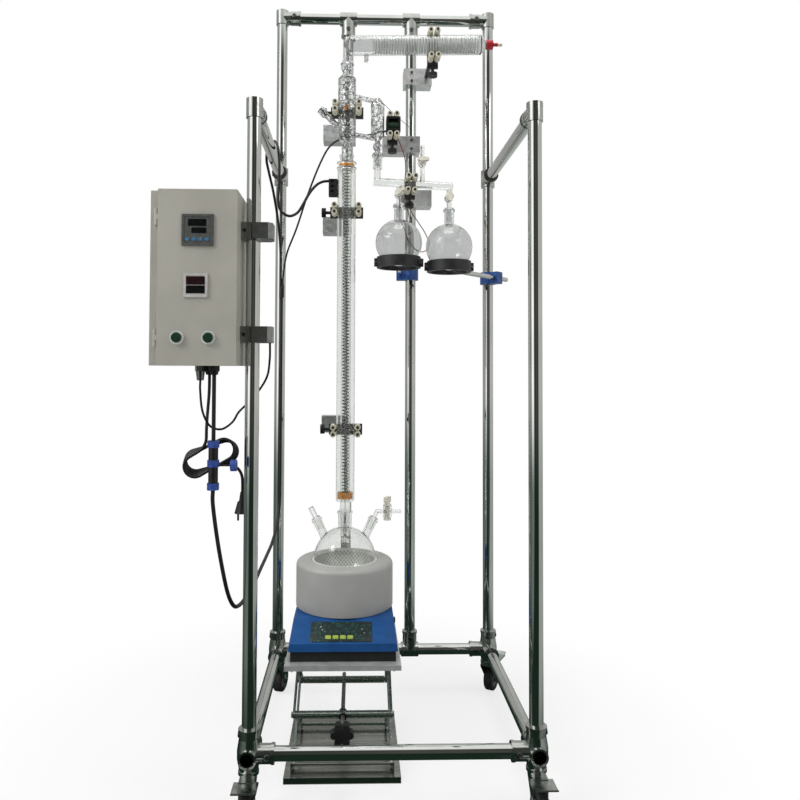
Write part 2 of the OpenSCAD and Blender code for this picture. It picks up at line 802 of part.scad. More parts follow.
module front_trunnion() color([0.32, 0.38, 0.35]) trunnion(front_pivot_y);
module rear_trunnion() color([0.32, 0.38, 0.35]) trunnion(front_pivot_y + stage_d);

module lift_screw() {
    screw_end = front_pivot_y + stage_d + slide_len + screw_tail;
    lobes = 6;
    lobe_d = 16;
    grip_start = knob_y + knob_t + 1;
    color([0.6, 0.62, 0.6]) translate([0, 0, elbow_z]) {
        translate([0, knob_y + knob_t / 2, 0])
            along_y() cylinder(d = screw_d, h = screw_end - knob_y - knob_t / 2);
        for (y = [-cross_rod_d / 2 - rest_gap - collar_t, cross_rod_d / 2 + rest_gap])
            translate([0, front_pivot_y + y, 0]) along_y() cylinder(d = collar_d, h = collar_t);
    }
    color([0.03, 0.03, 0.03]) translate([0, knob_y, elbow_z]) difference() {
        along_y() union() {
            cylinder(d = knob_d - lobe_d - 4, h = knob_t);
            for (i = [0 : lobes - 1]) rotate([0, 0, 360 / lobes * i])
                translate([knob_d / 2 - lobe_d / 2, 0, 0]) cylinder(d = lobe_d, h = knob_t);
            translate([0, 0, knob_t]) cylinder(d = collar_d, h = grip_start - knob_y - knob_t + 8);
        }
        translate([0, knob_t / 2, 0]) along_y() cylinder(d = screw_d + 2 * slip, h = 2 * knob_t);
    }
}

// Stirrer and mantle

module stirrer_form(inset) {
    intersection() {
        translate([-stirrer_w / 2 + inset, 0, 0]) rotate([90, 0, 90]) linear_extrude(stirrer_w - 2 * inset)
            polygon([
                [stirrer_front_y + inset, foot_h + inset], [stirrer_front_y + inset, panel_rise - inset / 2],
                [panel_back_y, stirrer_h - 3 - inset], [panel_back_y + 8, stirrer_h - inset],
                [stirrer_back_y - inset, stirrer_h - inset], [stirrer_back_y - inset, foot_h + inset]
            ]);
        translate([0, stirrer_back_y, 0]) rotate([90, 0, 0]) linear_extrude(stirrer_back_y - stirrer_front_y)
            polygon([
                [-stirrer_w / 2 + inset, foot_h], [stirrer_w / 2 - inset, foot_h],
                [stirrer_w / 2 - stirrer_draft - inset, stirrer_h],
                [-stirrer_w / 2 + stirrer_draft + inset, stirrer_h]
            ]);
    }
}

module stirrer_base() {
    color([0.1, 0.3, 0.58]) translate([0, 0, jack_top_z]) difference() {
        stirrer_form(0);
        stirrer_form(stirrer_wall);
    }
    foot_w = stirrer_w - 2 * foot_inset;
    foot_len = stirrer_back_y - stirrer_front_y - 2 * foot_inset;
    color([0.03, 0.03, 0.04])
        translate([-foot_w / 2, stirrer_front_y + foot_inset, jack_top_z]) difference() {
            cube([foot_w, foot_len, foot_h]);
            translate([stirrer_wall, stirrer_wall, -over])
                cube([foot_w - 2 * stirrer_wall, foot_len - 2 * stirrer_wall, foot_h - stirrer_wall + over]);
        }
}

// The shell is a drawn sheet: a straight wall, a rolled shoulder and a flat lip round the nest
module mantle_shell() color([0.62, 0.62, 0.62]) translate([0, 0, shell_z]) difference() {
    rotate_extrude() union() {
        square([shell_d / 2, shell_h - shell_round]);
        square([shell_d / 2 - shell_round, shell_h]);
        translate([shell_d / 2 - shell_round, shell_h - shell_round]) circle(r = shell_round);
    }
    rotate_extrude() union() {
        translate([0, shell_wall]) square([shell_d / 2 - shell_wall, shell_h - shell_round - shell_wall]);
        translate([0, shell_wall]) square([shell_d / 2 - shell_round, shell_h - 2 * shell_wall]);
        translate([shell_d / 2 - shell_round, shell_h - shell_round]) circle(r = shell_round - shell_wall);
    }
    translate([0, 0, shell_h / 2]) cylinder(r = mouth_r, h = shell_h);
}

module mantle_nest() color([0.86, 0.85, 0.8]) {
    nest_top = shell_z + shell_h;
    foot_r = 40;
    translate([0, 0, flask_z]) difference() {
        union() {
            sphere(r = nest_r + nest_t);
            translate([0, 0, shell_z + shell_wall - flask_z])
                cylinder(r = foot_r, h = flask_z - nest_r - shell_z - shell_wall);
        }
        sphere(r = nest_r);
        translate([-shell_d, -shell_d, nest_top - flask_z]) cube([2 * shell_d, 2 * shell_d, shell_d]);
    }
}

// Glass

module cone(d, length) {
    cylinder(d1 = d - joint_taper * length, d2 = d, h = length);
}

// Frame of a side neck: its axis is +Z, leaning out to the turned side
module side_neck(turn) {
    translate([0, 0, flask_z]) rotate([0, 0, turn]) translate([side_neck_offset, 0, 0])
        rotate([0, side_neck_lean, 0]) children();
}
neck_turns = [0, 90, 180];
side_socket_len = 28;

module boiling_flask() color([0.86, 0.92, 0.93, 0.4]) difference() {
    union() {
        translate([0, 0, flask_z]) sphere(d = flask_d);
        translate([0, 0, flask_z]) cylinder(d = neck_d, h = neck_top - flask_z);
        translate([0, 0, neck_top - bead_h]) cylinder(d = neck_d + 2 * bead, h = bead_h);
        for (turn = neck_turns) side_neck(turn) {
            cylinder(d = side_neck_d, h = side_neck_len);
            translate([0, 0, side_neck_len - bead_h]) cylinder(d = side_neck_d + 2 * bead, h = bead_h);
        }
    }
    translate([0, 0, flask_z]) sphere(d = flask_d - 2 * glass_wall);
    translate([0, 0, flask_z]) cylinder(d = column_d + 2, h = neck_top - flask_z - joint_len);
    translate([0, 0, neck_top - joint_len]) cone(joint_d + 2 * slip, joint_len + 0.01);
    for (turn = neck_turns) side_neck(turn) {
        cylinder(d = side_joint_d - joint_taper * side_socket_len, h = side_neck_len);
        translate([0, 0, side_neck_len - side_socket_len])
            cone(side_joint_d + 2 * slip, side_socket_len + 0.01);
    }
}

stopper_up = 30;
stopper_d = 16;
module neck_stopper(turn) side_neck(turn) translate([0, 0, side_neck_len - side_socket_len]) {
    cone(side_joint_d, side_socket_len);
    translate([0, 0, side_socket_len]) cylinder(d = side_neck_d + 1, h = bead_h);
    translate([0, 0, side_socket_len + bead_h]) cylinder(d = stopper_d, h = stopper_up);
}

// Barrel of a stopcock along Z, and the tapered plug that turns in it
module barrel() {
    translate([0, 0, -barrel_len / 2]) cylinder(d = barrel_d, h = barrel_len);
}
module barrel_bore() {
    translate([0, 0, -barrel_len]) cylinder(d = plug_d + 2 * run_fit, h = 2 * barrel_len);
}
module stopcock_plug() {
    flange_t = 3;
    nut_t = 7;
    handle = [24, 9, 15];
    half = barrel_len / 2 + rest_gap;
    difference() {
        union() {
            translate([0, 0, -half - nut_t]) cylinder(d = plug_d, h = 2 * half + nut_t + 9);
            translate([0, 0, half]) cylinder(d = barrel_d - 2, h = flange_t);
            translate([0, 0, -half - nut_t]) cylinder(d = barrel_d - 4, h = nut_t);
            translate([-handle[0] / 2, -handle[1] / 2, half + 8]) cube(handle);
            for (x = [-1, 1]) translate([x * handle[0] / 2, 0, half + 8])
                cylinder(d = handle[1], h = handle[2]);
        }
        translate([-barrel_d, 0, 0]) along_x() cylinder(d = plug_hole_d, h = 2 * barrel_d);
    }
}

module neck_fittings() color([0.86, 0.92, 0.93, 0.4]) {
    bend = side_neck_offset + (sample_z - flask_z) * tan(side_neck_lean);
    rise = (sample_z - flask_z) / cos(side_neck_lean);
    neck_stopper(180);
    neck_stopper(90);
    difference() {
        union() {
            side_neck(0) translate([0, 0, side_neck_len - side_socket_len])
                cone(side_joint_d, side_socket_len);
            side_neck(0) translate([0, 0, side_neck_len]) cylinder(d = side_neck_d + 1, h = bead_h);
            side_neck(0) translate([0, 0, side_neck_len]) cylinder(d = sample_d, h = rise - side_neck_len);
            translate([bend, 0, sample_z]) sphere(d = sample_d);
            translate([bend, 0, sample_z]) along_x()
                cylinder(d = sample_d, h = sample_x + barrel_d / 2 + nozzle_shoulder - bend);
            translate([bend, 0, sample_z]) along_x()
                cylinder(d = sample_d - 2 * nozzle_step, h = sample_end_x - bend);
            translate([sample_x, 0, sample_z]) barrel();
        }
        translate([sample_x, 0, sample_z]) barrel_bore();
        translate([bend, 0, sample_z])
            along_x() cylinder(d = sample_d - 2 * (nozzle_step + glass_wall), h = sample_end_x - bend + over);
    }
}

module sample_plug() color([0.93, 0.93, 0.91])
    translate([sample_x, 0, sample_z]) rotate([0, 0, 60]) stopcock_plug();

module column_jacket() color([0.84, 0.9, 0.92, 0.35]) translate([0, 0, column_z]) difference() {
    seal = 6;
    cylinder(d = jacket_d, h = jacket_len);
    translate([0, 0, seal]) cylinder(d = jacket_d - 2 * glass_wall, h = jacket_len - 2 * seal);
    translate([0, 0, -over]) cylinder(d = column_d + 2 * slip, h = jacket_len + 2 * over);
}

// Inner tube with a drip tip and cone below and a socket above
module column_tube() color([0.84, 0.9, 0.92, 0.5]) difference() {
    cone_z = neck_top - joint_len;
    union() {
        translate([0, 0, cone_z - drip_len]) cylinder(d = column_d - 3, h = drip_len);
        translate([0, 0, cone_z]) cone(joint_d, joint_len);
        translate([0, 0, neck_top]) cylinder(d = joint_d, h = 6);
        translate([0, 0, neck_top]) cylinder(d = column_d, h = column_top - neck_top);
        translate([0, 0, column_top]) cylinder(d = socket_d, h = socket_len);
        translate([0, 0, column_top + socket_len - bead_h]) cylinder(d = socket_d + 2 * bead, h = bead_h);
    }
    translate([0, 0, cone_z - drip_len - over])
        cylinder(d = column_d - 2 * glass_wall - 4, h = column_z - cone_z + drip_len + over);
    translate([0, 0, column_z]) cylinder(d = column_d - 2 * glass_wall, h = jacket_len + over);
    translate([0, 0, column_top + socket_len - joint_len]) cone(joint_d + 2 * slip, joint_len + 0.01);
}

module column_packing() color([0.7, 0.71, 0.7])
    translate([0, 0, column_z + 10])
        cord(helix(packing_r, packing_pitch, packing_turns, helix_rings), packing_wire, 6);

module heater_terminal() color([0.04, 0.04, 0.04])
    translate([-jacket_d / 2 - terminal_size[0], -terminal_size[1] / 2, terminal_z - terminal_size[2] / 2]) {
        foot = 6;
        difference() {
            cube(terminal_size);
            translate([terminal_size[0] + jacket_d / 2, terminal_size[1] / 2, -over])
                cylinder(d = jacket_d + 2 * rest_gap, h = terminal_size[2] + 2 * over);
            for (z = [9, 23, 37]) translate([foot, -over, z]) cube([8, 6 + over, 6]);
        }
    }

// Still head: turned outer forms less the same forms drawn in by the wall
module head_form(inset) {
    body_r = head_d / 2 - inset;
    top_r = head_top_d / 2 - inset;
    neck_r = head_neck_d / 2 - inset;
    arm_r = arm_tube_d / 2 - inset;
    side_r = vessel_d / 2 - inset;
    head_body_top = head_body_z + head_body_len;
    rotate_extrude() polygon([
        [0, head_z + joint_len - inset], [neck_r, head_z + joint_len - inset],
        [neck_r, head_body_z - head_shoulder + inset], [body_r, head_body_z + inset],
        [body_r, head_body_top - inset], [top_r, head_body_top + head_shoulder - inset],
        [top_r, ball_z], [0, ball_z]
    ]);
    translate([0, 0, well_z]) rotate([0, -well_lean, 0])
        cylinder(r = well_d / 2 - inset, h = well_len - inset);
    for (z = [upper_arm_z, lower_arm_z]) translate([0, 0, z]) rotate([0, 0, vessel_turn])
        along_x() cylinder(r = arm_r, h = vessel_reach);
    translate([vessel[0], vessel[1], 0]) rotate_extrude() polygon([
        [0, inlet_top + inset], [arm_r + 0.5, inlet_top + inset], [arm_r + 0.5, lower_arm_z - 4],
        [side_r, vessel_low + inset], [side_r, vessel_high - inset],
        [arm_r + 1, upper_arm_z + 9 - inset], [0, upper_arm_z + 9 - inset]
    ]);
}

module still_head() color([0.86, 0.92, 0.93, 0.4]) difference() {
    bore = arm_tube_d - 2 * glass_wall;
    union() {
        head_form(0);
        translate([0, 0, head_z]) cone(joint_d, joint_len);
        translate([0, 0, ball_z]) sphere(d = ball_d);
        translate([0, 0, well_z]) rotate([0, -well_lean, 0])
            translate([0, 0, well_len - 16]) cylinder(d = well_d + 6, h = 16);
        translate([vessel[0], vessel[1], valve_z]) sphere(d = valve_d);
        translate([vessel[0], vessel[1], inlet_top - small_joint_len]) cone(small_joint_d, small_joint_len);
        translate([vessel[0], vessel[1], inlet_top]) cylinder(d = inlet_d - 4, h = bead_h);
    }
    head_form(glass_wall);
    translate([0, 0, head_z - over])
        cylinder(d = head_neck_d - 2 * glass_wall - 4, h = joint_len + glass_wall + 2 * over);
    translate([0, 0, ball_z - over]) cylinder(d = head_top_d - 2 * glass_wall - 1, h = ball_d);
    translate([vessel[0], vessel[1], inlet_top - small_joint_len - over])
        cylinder(d = bore - 1, h = small_joint_len + glass_wall + 2 * over);
    translate([0, 0, ball_z + 7]) cylinder(d = ball_d, h = ball_d);
}

// Condenser: its own axis is +X from the vapour tube, with a slight rise
module condenser_frame() {
    translate([0, 0, condenser_z]) rotate([0, -condenser_rise, 0]) children();
}

module condenser_form(inset) {
    condenser_frame() translate([condenser_start + inset, 0, 0]) along_x() {
        cylinder(r1 = condenser_d / 2 - dome - inset / 2, r2 = condenser_d / 2 - inset, h = dome);
        translate([0, 0, dome])
            cylinder(d = condenser_d - 2 * inset, h = condenser_len - 2 * dome - 2 * inset);
        translate([0, 0, condenser_len - dome - 2 * inset])
            cylinder(r1 = condenser_d / 2 - inset, r2 = condenser_d / 2 - dome - inset / 2, h = dome);
    }
}

module condenser_shell() color([0.85, 0.9, 0.92, 0.35]) {
    cup_d = ball_d + 4;
    cup_z = ball_z + 7.2;
    vapour_d = head_top_d;
    difference() {
        union() {
            condenser_form(0);
            translate([0, 0, cup_z]) cylinder(d = vapour_d, h = condenser_z - cup_z);
            translate([0, 0, cup_z]) cylinder(d1 = cup_d, d2 = vapour_d, h = 16);
            condenser_frame() {
                translate([port_x, 0, -condenser_d / 2 - 18]) cylinder(d = port_d, h = 24);
                translate([condenser_start + condenser_len - 2, 0, 0])
                    along_x() cylinder(d = thread_d, h = thread_len + 2);
            }
        }
        condenser_form(condenser_wall);
        translate([0, 0, cup_z - over]) cylinder(d = vapour_d - 2 * glass_wall, h = condenser_z - cup_z);
        condenser_frame() {
            translate([port_x, 0, -condenser_d / 2 - 18 - over])
                cylinder(d = port_d - 2 * glass_wall, h = 26);
            translate([condenser_start + condenser_len - dome, 0, 0])
                along_x() cylinder(d = thread_d - 2 * glass_wall, h = thread_len + 2 * dome);
        }
    }
}

module condenser_coil() color([0.9, 0.94, 0.95, 0.6]) condenser_frame()
    translate([coil_start, 0, 0]) along_x()
        cord(helix(coil_r, coil_pitch, coil_turns, helix_rings), coil_tube_d, 6);

module hose_cap() color([0.68, 0.08, 0.1]) condenser_frame()
    translate([condenser_start + condenser_len, 0, 0]) along_x() {
        barb_step = 8;
        difference() {
            translate([0, 0, 2]) cylinder(d = cap_d, h = cap_len + 4);
            translate([0, 0, -over]) cylinder(d = thread_d + 2 * slip, h = thread_len + over);
        }
        translate([0, 0, cap_len + 6]) {
            cylinder(d = barb_d, h = barb_len - cap_len - 6);
            for (i = [0, 1]) translate([0, 0, barb_step * i + 1])
                cylinder(d1 = barb_d + 2, d2 = barb_d, h = 5);
        }
    }

// Receiver adapter: a falling tube with an inlet socket, a vent and two outlets
module adapter_form(inset) {
    r = adapter_d / 2 - inset;
    translate([inlet_x, receiver_y, adapter_z]) rotate([0, adapter_fall, 0]) along_x()
        translate([0, 0, -adapter_d / 2 + inset])
            cylinder(r = r, h = outlets[1][0] - inlet_x + adapter_d - 2 * inset);
    translate([inlet_x, receiver_y, adapter_z])
        cylinder(r = adapter_d / 2 - 2 - inset, h = inlet_top - small_joint_len - adapter_z);
    translate([vent_x, receiver_y, adapter_height(vent_x)]) {
        vent_rise = vent_z - adapter_height(vent_x);
        cylinder(r = outlet_d / 2 - inset, h = vent_rise + barrel_d / 2 + nozzle_shoulder - inset);
        cylinder(r = outlet_d / 2 - nozzle_step - inset, h = vent_rise + vent_up);
    }
    for (o = outlets)
        translate([o[0], receiver_y, o[2] - small_joint_len])
            cylinder(r = outlet_d / 2 - inset, h = adapter_height(o[0]) - o[2] + small_joint_len);
}

module adapter_barrels(bore) {
    for (place = [[vent_x, vent_z], [outlets[0][0], outlets[0][1]], [outlets[1][0], outlets[1][1]]])
        translate([place[0], receiver_y, place[1]]) rotate([90, 0, 0]) {
            if (bore) barrel_bore();
            else barrel();
        }
}

module receiver_adapter() color([0.86, 0.92, 0.93, 0.4]) difference() {
    socket_z = inlet_top - small_joint_len - 6;
    union() {
        adapter_form(0);
        adapter_barrels(false);
        translate([inlet_x, receiver_y, socket_z]) cylinder(d = inlet_d - 6, h = inlet_top - socket_z);
        translate([inlet_x, receiver_y, inlet_top - bead_h]) cylinder(d = inlet_d, h = bead_h);
        for (o = outlets) translate([o[0], receiver_y, o[2] - small_joint_len]) {
            cone(small_joint_d, small_joint_len);
            translate([0, 0, small_joint_len]) cylinder(d = receiver_neck_d + 2, h = bead_h);
        }
    }
    adapter_form(glass_wall);
    adapter_barrels(true);
    translate([inlet_x, receiver_y, inlet_top - small_joint_len])
        cone(small_joint_d + 2 * slip, small_joint_len + 0.01);
    translate([vent_x, receiver_y, vent_z])
        cylinder(d = outlet_d - 2 * nozzle_step - 2 * glass_wall, h = vent_up + over);
    for (o = outlets)
        translate([o[0], receiver_y, o[2] - small_joint_len - over])
            cylinder(d = outlet_d - 2 * glass_wall, h = 20);
}

// Plugs face the front, their handles turned on the barrel axis
module facing_plug(x, z, turn) color([0.92, 0.9, 0.83])
    translate([x, receiver_y, z]) rotate([90, 0, 0]) rotate([0, 0, turn]) stopcock_plug();
module vent_plug() facing_plug(vent_x, vent_z, 0);
module left_plug() facing_plug(outlets[0][0], outlets[0][1], 40);
module right_plug() facing_plug(outlets[1][0], outlets[1][1], 90);

module receiver_flasks() color([0.86, 0.92, 0.93, 0.4]) {
    for (o = outlets) translate([o[0], receiver_y, 0]) difference() {
        centre_z = o[2] - receiver_drop;
        union() {
            translate([0, 0, centre_z]) sphere(d = receiver_d);
            translate([0, 0, centre_z]) cylinder(d = receiver_neck_d, h = receiver_drop);
            translate([0, 0, o[2] - bead_h]) cylinder(d = receiver_neck_d + 2 * bead, h = bead_h);
        }
        translate([0, 0, centre_z]) sphere(d = receiver_d - 2 * glass_wall);
        translate([0, 0, centre_z])
            cylinder(d = small_joint_d - joint_taper * small_joint_len, h = receiver_drop);
        translate([0, 0, o[2] - small_joint_len]) cone(small_joint_d + 2 * slip, small_joint_len + 0.01);
    }
}

// Ring holders. Each rod runs back past its upright at the offset of its bosshead.
ring_posts = [[receiver_rod_x, -1], [post_right_x, 1]];
function ring_centre(i) = [outlets[i][0], receiver_y];
function ring_z(i) = outlets[i][2] - receiver_drop - ring_below;
function ring_span(i) = [ring_posts[i][0], post_rear_y] - ring_centre(i);
function ring_turn(i) =
    atan2(ring_span(i)[1], ring_span(i)[0]) - ring_posts[i][1] * asin(boss_offset / norm(ring_span(i)));
function ring_reach(i) = sqrt(norm(ring_span(i)) ^ 2 - boss_offset ^ 2);
function seat_r(i) = sqrt((receiver_d / 2) ^ 2 - (ring_below - ring_h) ^ 2);

module ring_holders() color([0.05, 0.05, 0.05]) {
    for (i = [0, 1]) translate([ring_centre(i)[0], ring_centre(i)[1], ring_z(i)]) {
        difference() {
            union() {
                cylinder(d = ring_d, h = ring_h);
                for (side = [0, 180]) rotate([0, 0, side])
                    translate([ring_d / 2 - 4, -lug[1] / 2, (ring_h - lug[2]) / 2]) cube(lug);
                rotate([0, 0, ring_turn(i)]) translate([ring_d / 2 - 4, 0, ring_rod_d / 2]) along_x()
                    cylinder(d = ring_rod_d, h = ring_reach(i) + ring_tail - ring_d / 2 + 4);
            }
            translate([0, 0, -over]) cylinder(r = seat_r(i) + rest_gap, h = ring_h + 2 * over);
        }
    }
}

module bossheads() color([0.1, 0.24, 0.52]) {
    for (i = [0, 1]) {
        near = tube_d / 2 + 8;
        far = boss_offset + ring_rod_d / 2 + 7;
        way = ring_posts[i][1];
        translate([ring_posts[i][0], post_rear_y, ring_z(i) + ring_rod_d / 2])
            rotate([0, 0, ring_turn(i) - 90]) difference() {
                union() {
                    translate([way > 0 ? 0 : -far, -ring_rod_d / 2 - 8, -boss_h / 2])
                        cube([far, ring_rod_d + 16, boss_h]);
                    translate([0, 0, -boss_h / 2]) cylinder(r = near, h = boss_h);
                }
                translate([0, 0, -boss_h]) cylinder(d = tube_d + 2 * slip, h = 2 * boss_h);
                translate([way * boss_offset, -2 * near, 0])
                    along_y() cylinder(d = ring_rod_d + 2 * slip, h = 4 * near);
            }
    }
}

// Clamps. At the glass, X is the closing direction of the jaws and Y points back to the rod.
function pad_x(grip) = grip / 2 + pad_gap + pad_d / 2;
yoke_y = pad_front + pad_len + pad_bare;

module at_glass(c) {
    translate([c[2], c[3], c[1]]) rotate([0, c[6], 0]) rotate([0, c[5] * -90, 0]) children();
}

module clamp_blocks() color([0.72, 0.74, 0.75]) {
    for (c = clamp_list) difference() {
        translate([c[0] - c[7], post_rear_y - block_front, c[1] - block_h / 2])
            cube([c[7] + c[8], block_front + block_back, block_h]);
        translate([c[0], post_rear_y, c[1] - block_h]) cylinder(d = tube_d + 2 * slip, h = 2 * block_h);
        translate([c[2], post_rear_y - block_front - over, c[1]])
            along_y() cylinder(d = arm_d + 2 * slip, h = block_front - tube_d / 2 - 2 + over);
        translate([c[0] - 1, post_rear_y, c[1] - block_h]) cube([2, block_back + over, 2 * block_h]);
    }
}

module clamp_jaws() {
    for (c = clamp_list) {
        arm_end = post_rear_y - tube_d / 2 - 2;
        half = pad_x(c[4]) + yoke_over;
        color([0.08, 0.08, 0.08]) at_glass(c) {
            translate([-half, yoke_y, -yoke_h / 2]) cube([2 * half, yoke_t, yoke_h]);
            for (side = [-1, 1], z = [-pad_step, pad_step]) translate([side * pad_x(c[4]), 0, z]) {
                translate([0, pad_front - pad_head_t, 0])
                    along_y() cylinder(d = pad_pin_d, h = yoke_y - pad_front + 4);
                translate([0, pad_front - 2 * pad_head_t, 0])
                    along_y() cylinder(d = pad_head_d, h = pad_head_t);
            }
            translate([0, yoke_y + over, 0])
                along_y() cylinder(d = arm_d, h = arm_end - c[3] - yoke_y - over);
        }
        color([0.8, 0.79, 0.7]) at_glass(c)
            for (side = [-1, 1], z = [-pad_step, pad_step]) translate([side * pad_x(c[4]), pad_front, z])
                along_y() difference() {
                    cylinder(d = pad_d, h = pad_len);
                    translate([0, 0, -over]) cylinder(d = pad_pin_d + 2 * slip, h = pad_len + 2 * over);
                }
    }
}

module clamp_knobs() color([0.03, 0.03, 0.03]) {
    for (c = clamp_list) at_glass(c)
        translate([-pad_x(c[4]) - yoke_over, yoke_y + yoke_t / 2, 0]) rotate([0, -90, 0]) {
            cylinder(d = thumb_d / 3, h = thumb_stem);
            translate([0, 0, thumb_stem]) difference() {
                cylinder(d = thumb_d, h = thumb_t);
                for (i = [0 : 11]) rotate([0, 0, 30 * i]) translate([thumb_d / 2 + 1, 0, -over])
                    cylinder(d = 5, h = thumb_t + 2 * over);
            }
        }
}

module solenoid() color([0.12, 0.16, 0.13])
    translate([clamp_solenoid[2], clamp_solenoid[3], clamp_solenoid[1]]) {
    core_d = 24;
    cheek = 6;
    s = solenoid_size;
    for (x = [-s[0] / 2, s[0] / 2 - cheek]) translate([x, -s[1] / 2, -s[2] / 2]) cube([cheek, s[1], s[2]]);
    for (z = [-s[2] / 2, s[2] / 2 - cheek]) translate([-s[0] / 2, -s[1] / 2, z]) cube([s[0], s[1], cheek]);
    translate([-s[0] / 2, 0, 0]) along_x() cylinder(d = core_d, h = s[0]);
}

// Control box

module box_body() color([0.7, 0.69, 0.64]) {
    flange = 12;
    difference() {
        translate([box_left_x, rim_y, box_z]) cube([box_w, box_back_y - rim_y, box_h]);
        translate([box_left_x + box_wall, rim_y + box_wall, box_z + box_wall])
            cube([box_w - 2 * box_wall, box_back_y - rim_y - 2 * box_wall, box_h - 2 * box_wall]);
        translate([door_left_x + flange, rim_y - over, box_z + flange])
            cube([box_right_x - door_left_x - 2 * flange, box_wall + 2 * over, box_h - 2 * flange]);
        for (g = [earth_gland, lead_gland, power_gland]) translate([g[0], g[1], box_z - over])
            cylinder(d = 14 + 2 * slip, h = box_wall + 2 * over);
    }
    for (z = hinge_zs, end = [-1, 1])
        translate([hinge_x, hinge_y, z + end * (knuckle_len + rest_gap) - knuckle_len / 2]) {
        cylinder(d = knuckle_d, h = knuckle_len);
        translate([-knuckle_d / 2, 0, 0]) cube([knuckle_d / 2, rim_y - hinge_y + over, knuckle_len]);
    }
    for (z = hinge_zs) translate([hinge_x, hinge_y, z - 1.5 * knuckle_len])
        cylinder(d = hinge_pin_d, h = 3 * knuckle_len);
}

module box_door() color([0.72, 0.71, 0.66]) {
    door_w = box_right_x - door_left_x;
    edge = bezel_edge - slip;
    difference() {
        translate([door_left_x, box_front_y, box_z]) cube([door_w, door_t, box_h]);
        translate([door_left_x + box_wall, box_front_y + box_wall, box_z + box_wall])
            cube([door_w - 2 * box_wall, door_t, box_h - 2 * box_wall]);
        for (m = meters) translate([m[0] - m[2] / 2 + edge, box_front_y - over, m[1] - m[3] / 2 + edge])
            cube([m[2] - 2 * edge, box_wall + 2 * over, m[3] - 2 * edge]);
        for (x = button_x) translate([x, box_front_y - over, button_z]) along_y()
            cylinder(d = button_d + 4 + 2 * slip, h = box_wall + 2 * over);
    }
    for (z = hinge_zs) difference() {
        translate([hinge_x, hinge_y, z - knuckle_len / 2]) {
            cylinder(d = knuckle_d, h = knuckle_len);
            translate([0, -knuckle_d / 2, 0])
                cube([door_left_x - hinge_x + over, knuckle_d / 2, knuckle_len]);
        }
        translate([hinge_x, hinge_y, z - knuckle_len])
            cylinder(d = hinge_pin_d + 2 * run_fit, h = 2 * knuckle_len);
    }
}

module door_instruments() {
    color([0.2, 0.21, 0.22]) for (m = meters) translate([m[0], box_front_y, m[1]]) {
        difference() {
            translate([-m[2] / 2, -bezel_t, -m[3] / 2]) cube([m[2], bezel_t, m[3]]);
            translate([-m[2] / 2 + 5, -bezel_t - over, -m[3] / 2 + 5]) cube([m[2] - 10, 1 + over, m[3] - 10]);
        }
        translate([-m[2] / 2 + bezel_edge, -over, -m[3] / 2 + bezel_edge])
            cube([m[2] - 2 * bezel_edge, meter_depth, m[3] - 2 * bezel_edge]);
    }
    color([0.75, 0.76, 0.76])
        for (x = button_x) translate([x, box_front_y, button_z]) along_y() difference() {
        union() {
            translate([0, 0, -button_ring_t]) cylinder(d = button_ring_d, h = button_ring_t);
            translate([0, 0, -over]) cylinder(d = button_d + 4, h = button_reach + over);
        }
        translate([0, 0, -button_ring_t - over])
            cylinder(d = button_d + 2 * run_fit, h = button_reach + 2 * button_ring_t);
    }
}

module push_button(x) color([0.1, 0.45, 0.25]) translate([x, box_front_y, button_z]) along_y() {
    proud = button_ring_t + button_travel;
    translate([0, 0, -proud]) cylinder(d = button_d, h = button_reach - button_travel);
    translate([0, 0, -proud - 1]) cylinder(d1 = button_d - 3, d2 = button_d, h = 1);
}
module start_button() push_button(button_x[0]);
module stop_button() push_button(button_x[1]);

// Split block on the front left post that the box hangs on
module box_clamps() color([0.55, 0.56, 0.56]) {
    half = box_clamp_d / 2;
    left = box_right_x - post_left_x;
    right = box_clamp_right;
    bevel = 10;
    outline = [[left, -half], [right - bevel, -half], [right, bevel - half], [right, half - bevel],
        [right - bevel, half], [left, half]];
    for (z = box_clamp_z) translate([post_left_x, post_front_y, z - box_clamp_h / 2]) difference() {
        linear_extrude(box_clamp_h) polygon(outline);
        translate([0, 0, -over]) cylinder(d = tube_d + 2 * slip, h = box_clamp_h + 2 * over);
        translate([-box_clamp_slit / 2, -box_clamp_d, -over])
            cube([box_clamp_slit, 2 * box_clamp_d, box_clamp_h + 2 * over]);
    }
}

module gland(place, drop) {
    nut = 12;
    translate([place[0], place[1], box_z]) rotate([180, 0, 0]) {
        cylinder(d = 24, h = nut, $fn = 6);
        translate([0, 0, nut]) cylinder(d1 = 20, d2 = 15, h = drop - nut);
        translate([0, 0, -box_wall - 6]) cylinder(d = 14, h = box_wall + 6);
    }
}
module cable_glands() color([0.35, 0.36, 0.36]) {
    gland(earth_gland, gland_drop);
    gland(lead_gland, short_gland_drop);
    gland(power_gland, short_gland_drop);
}

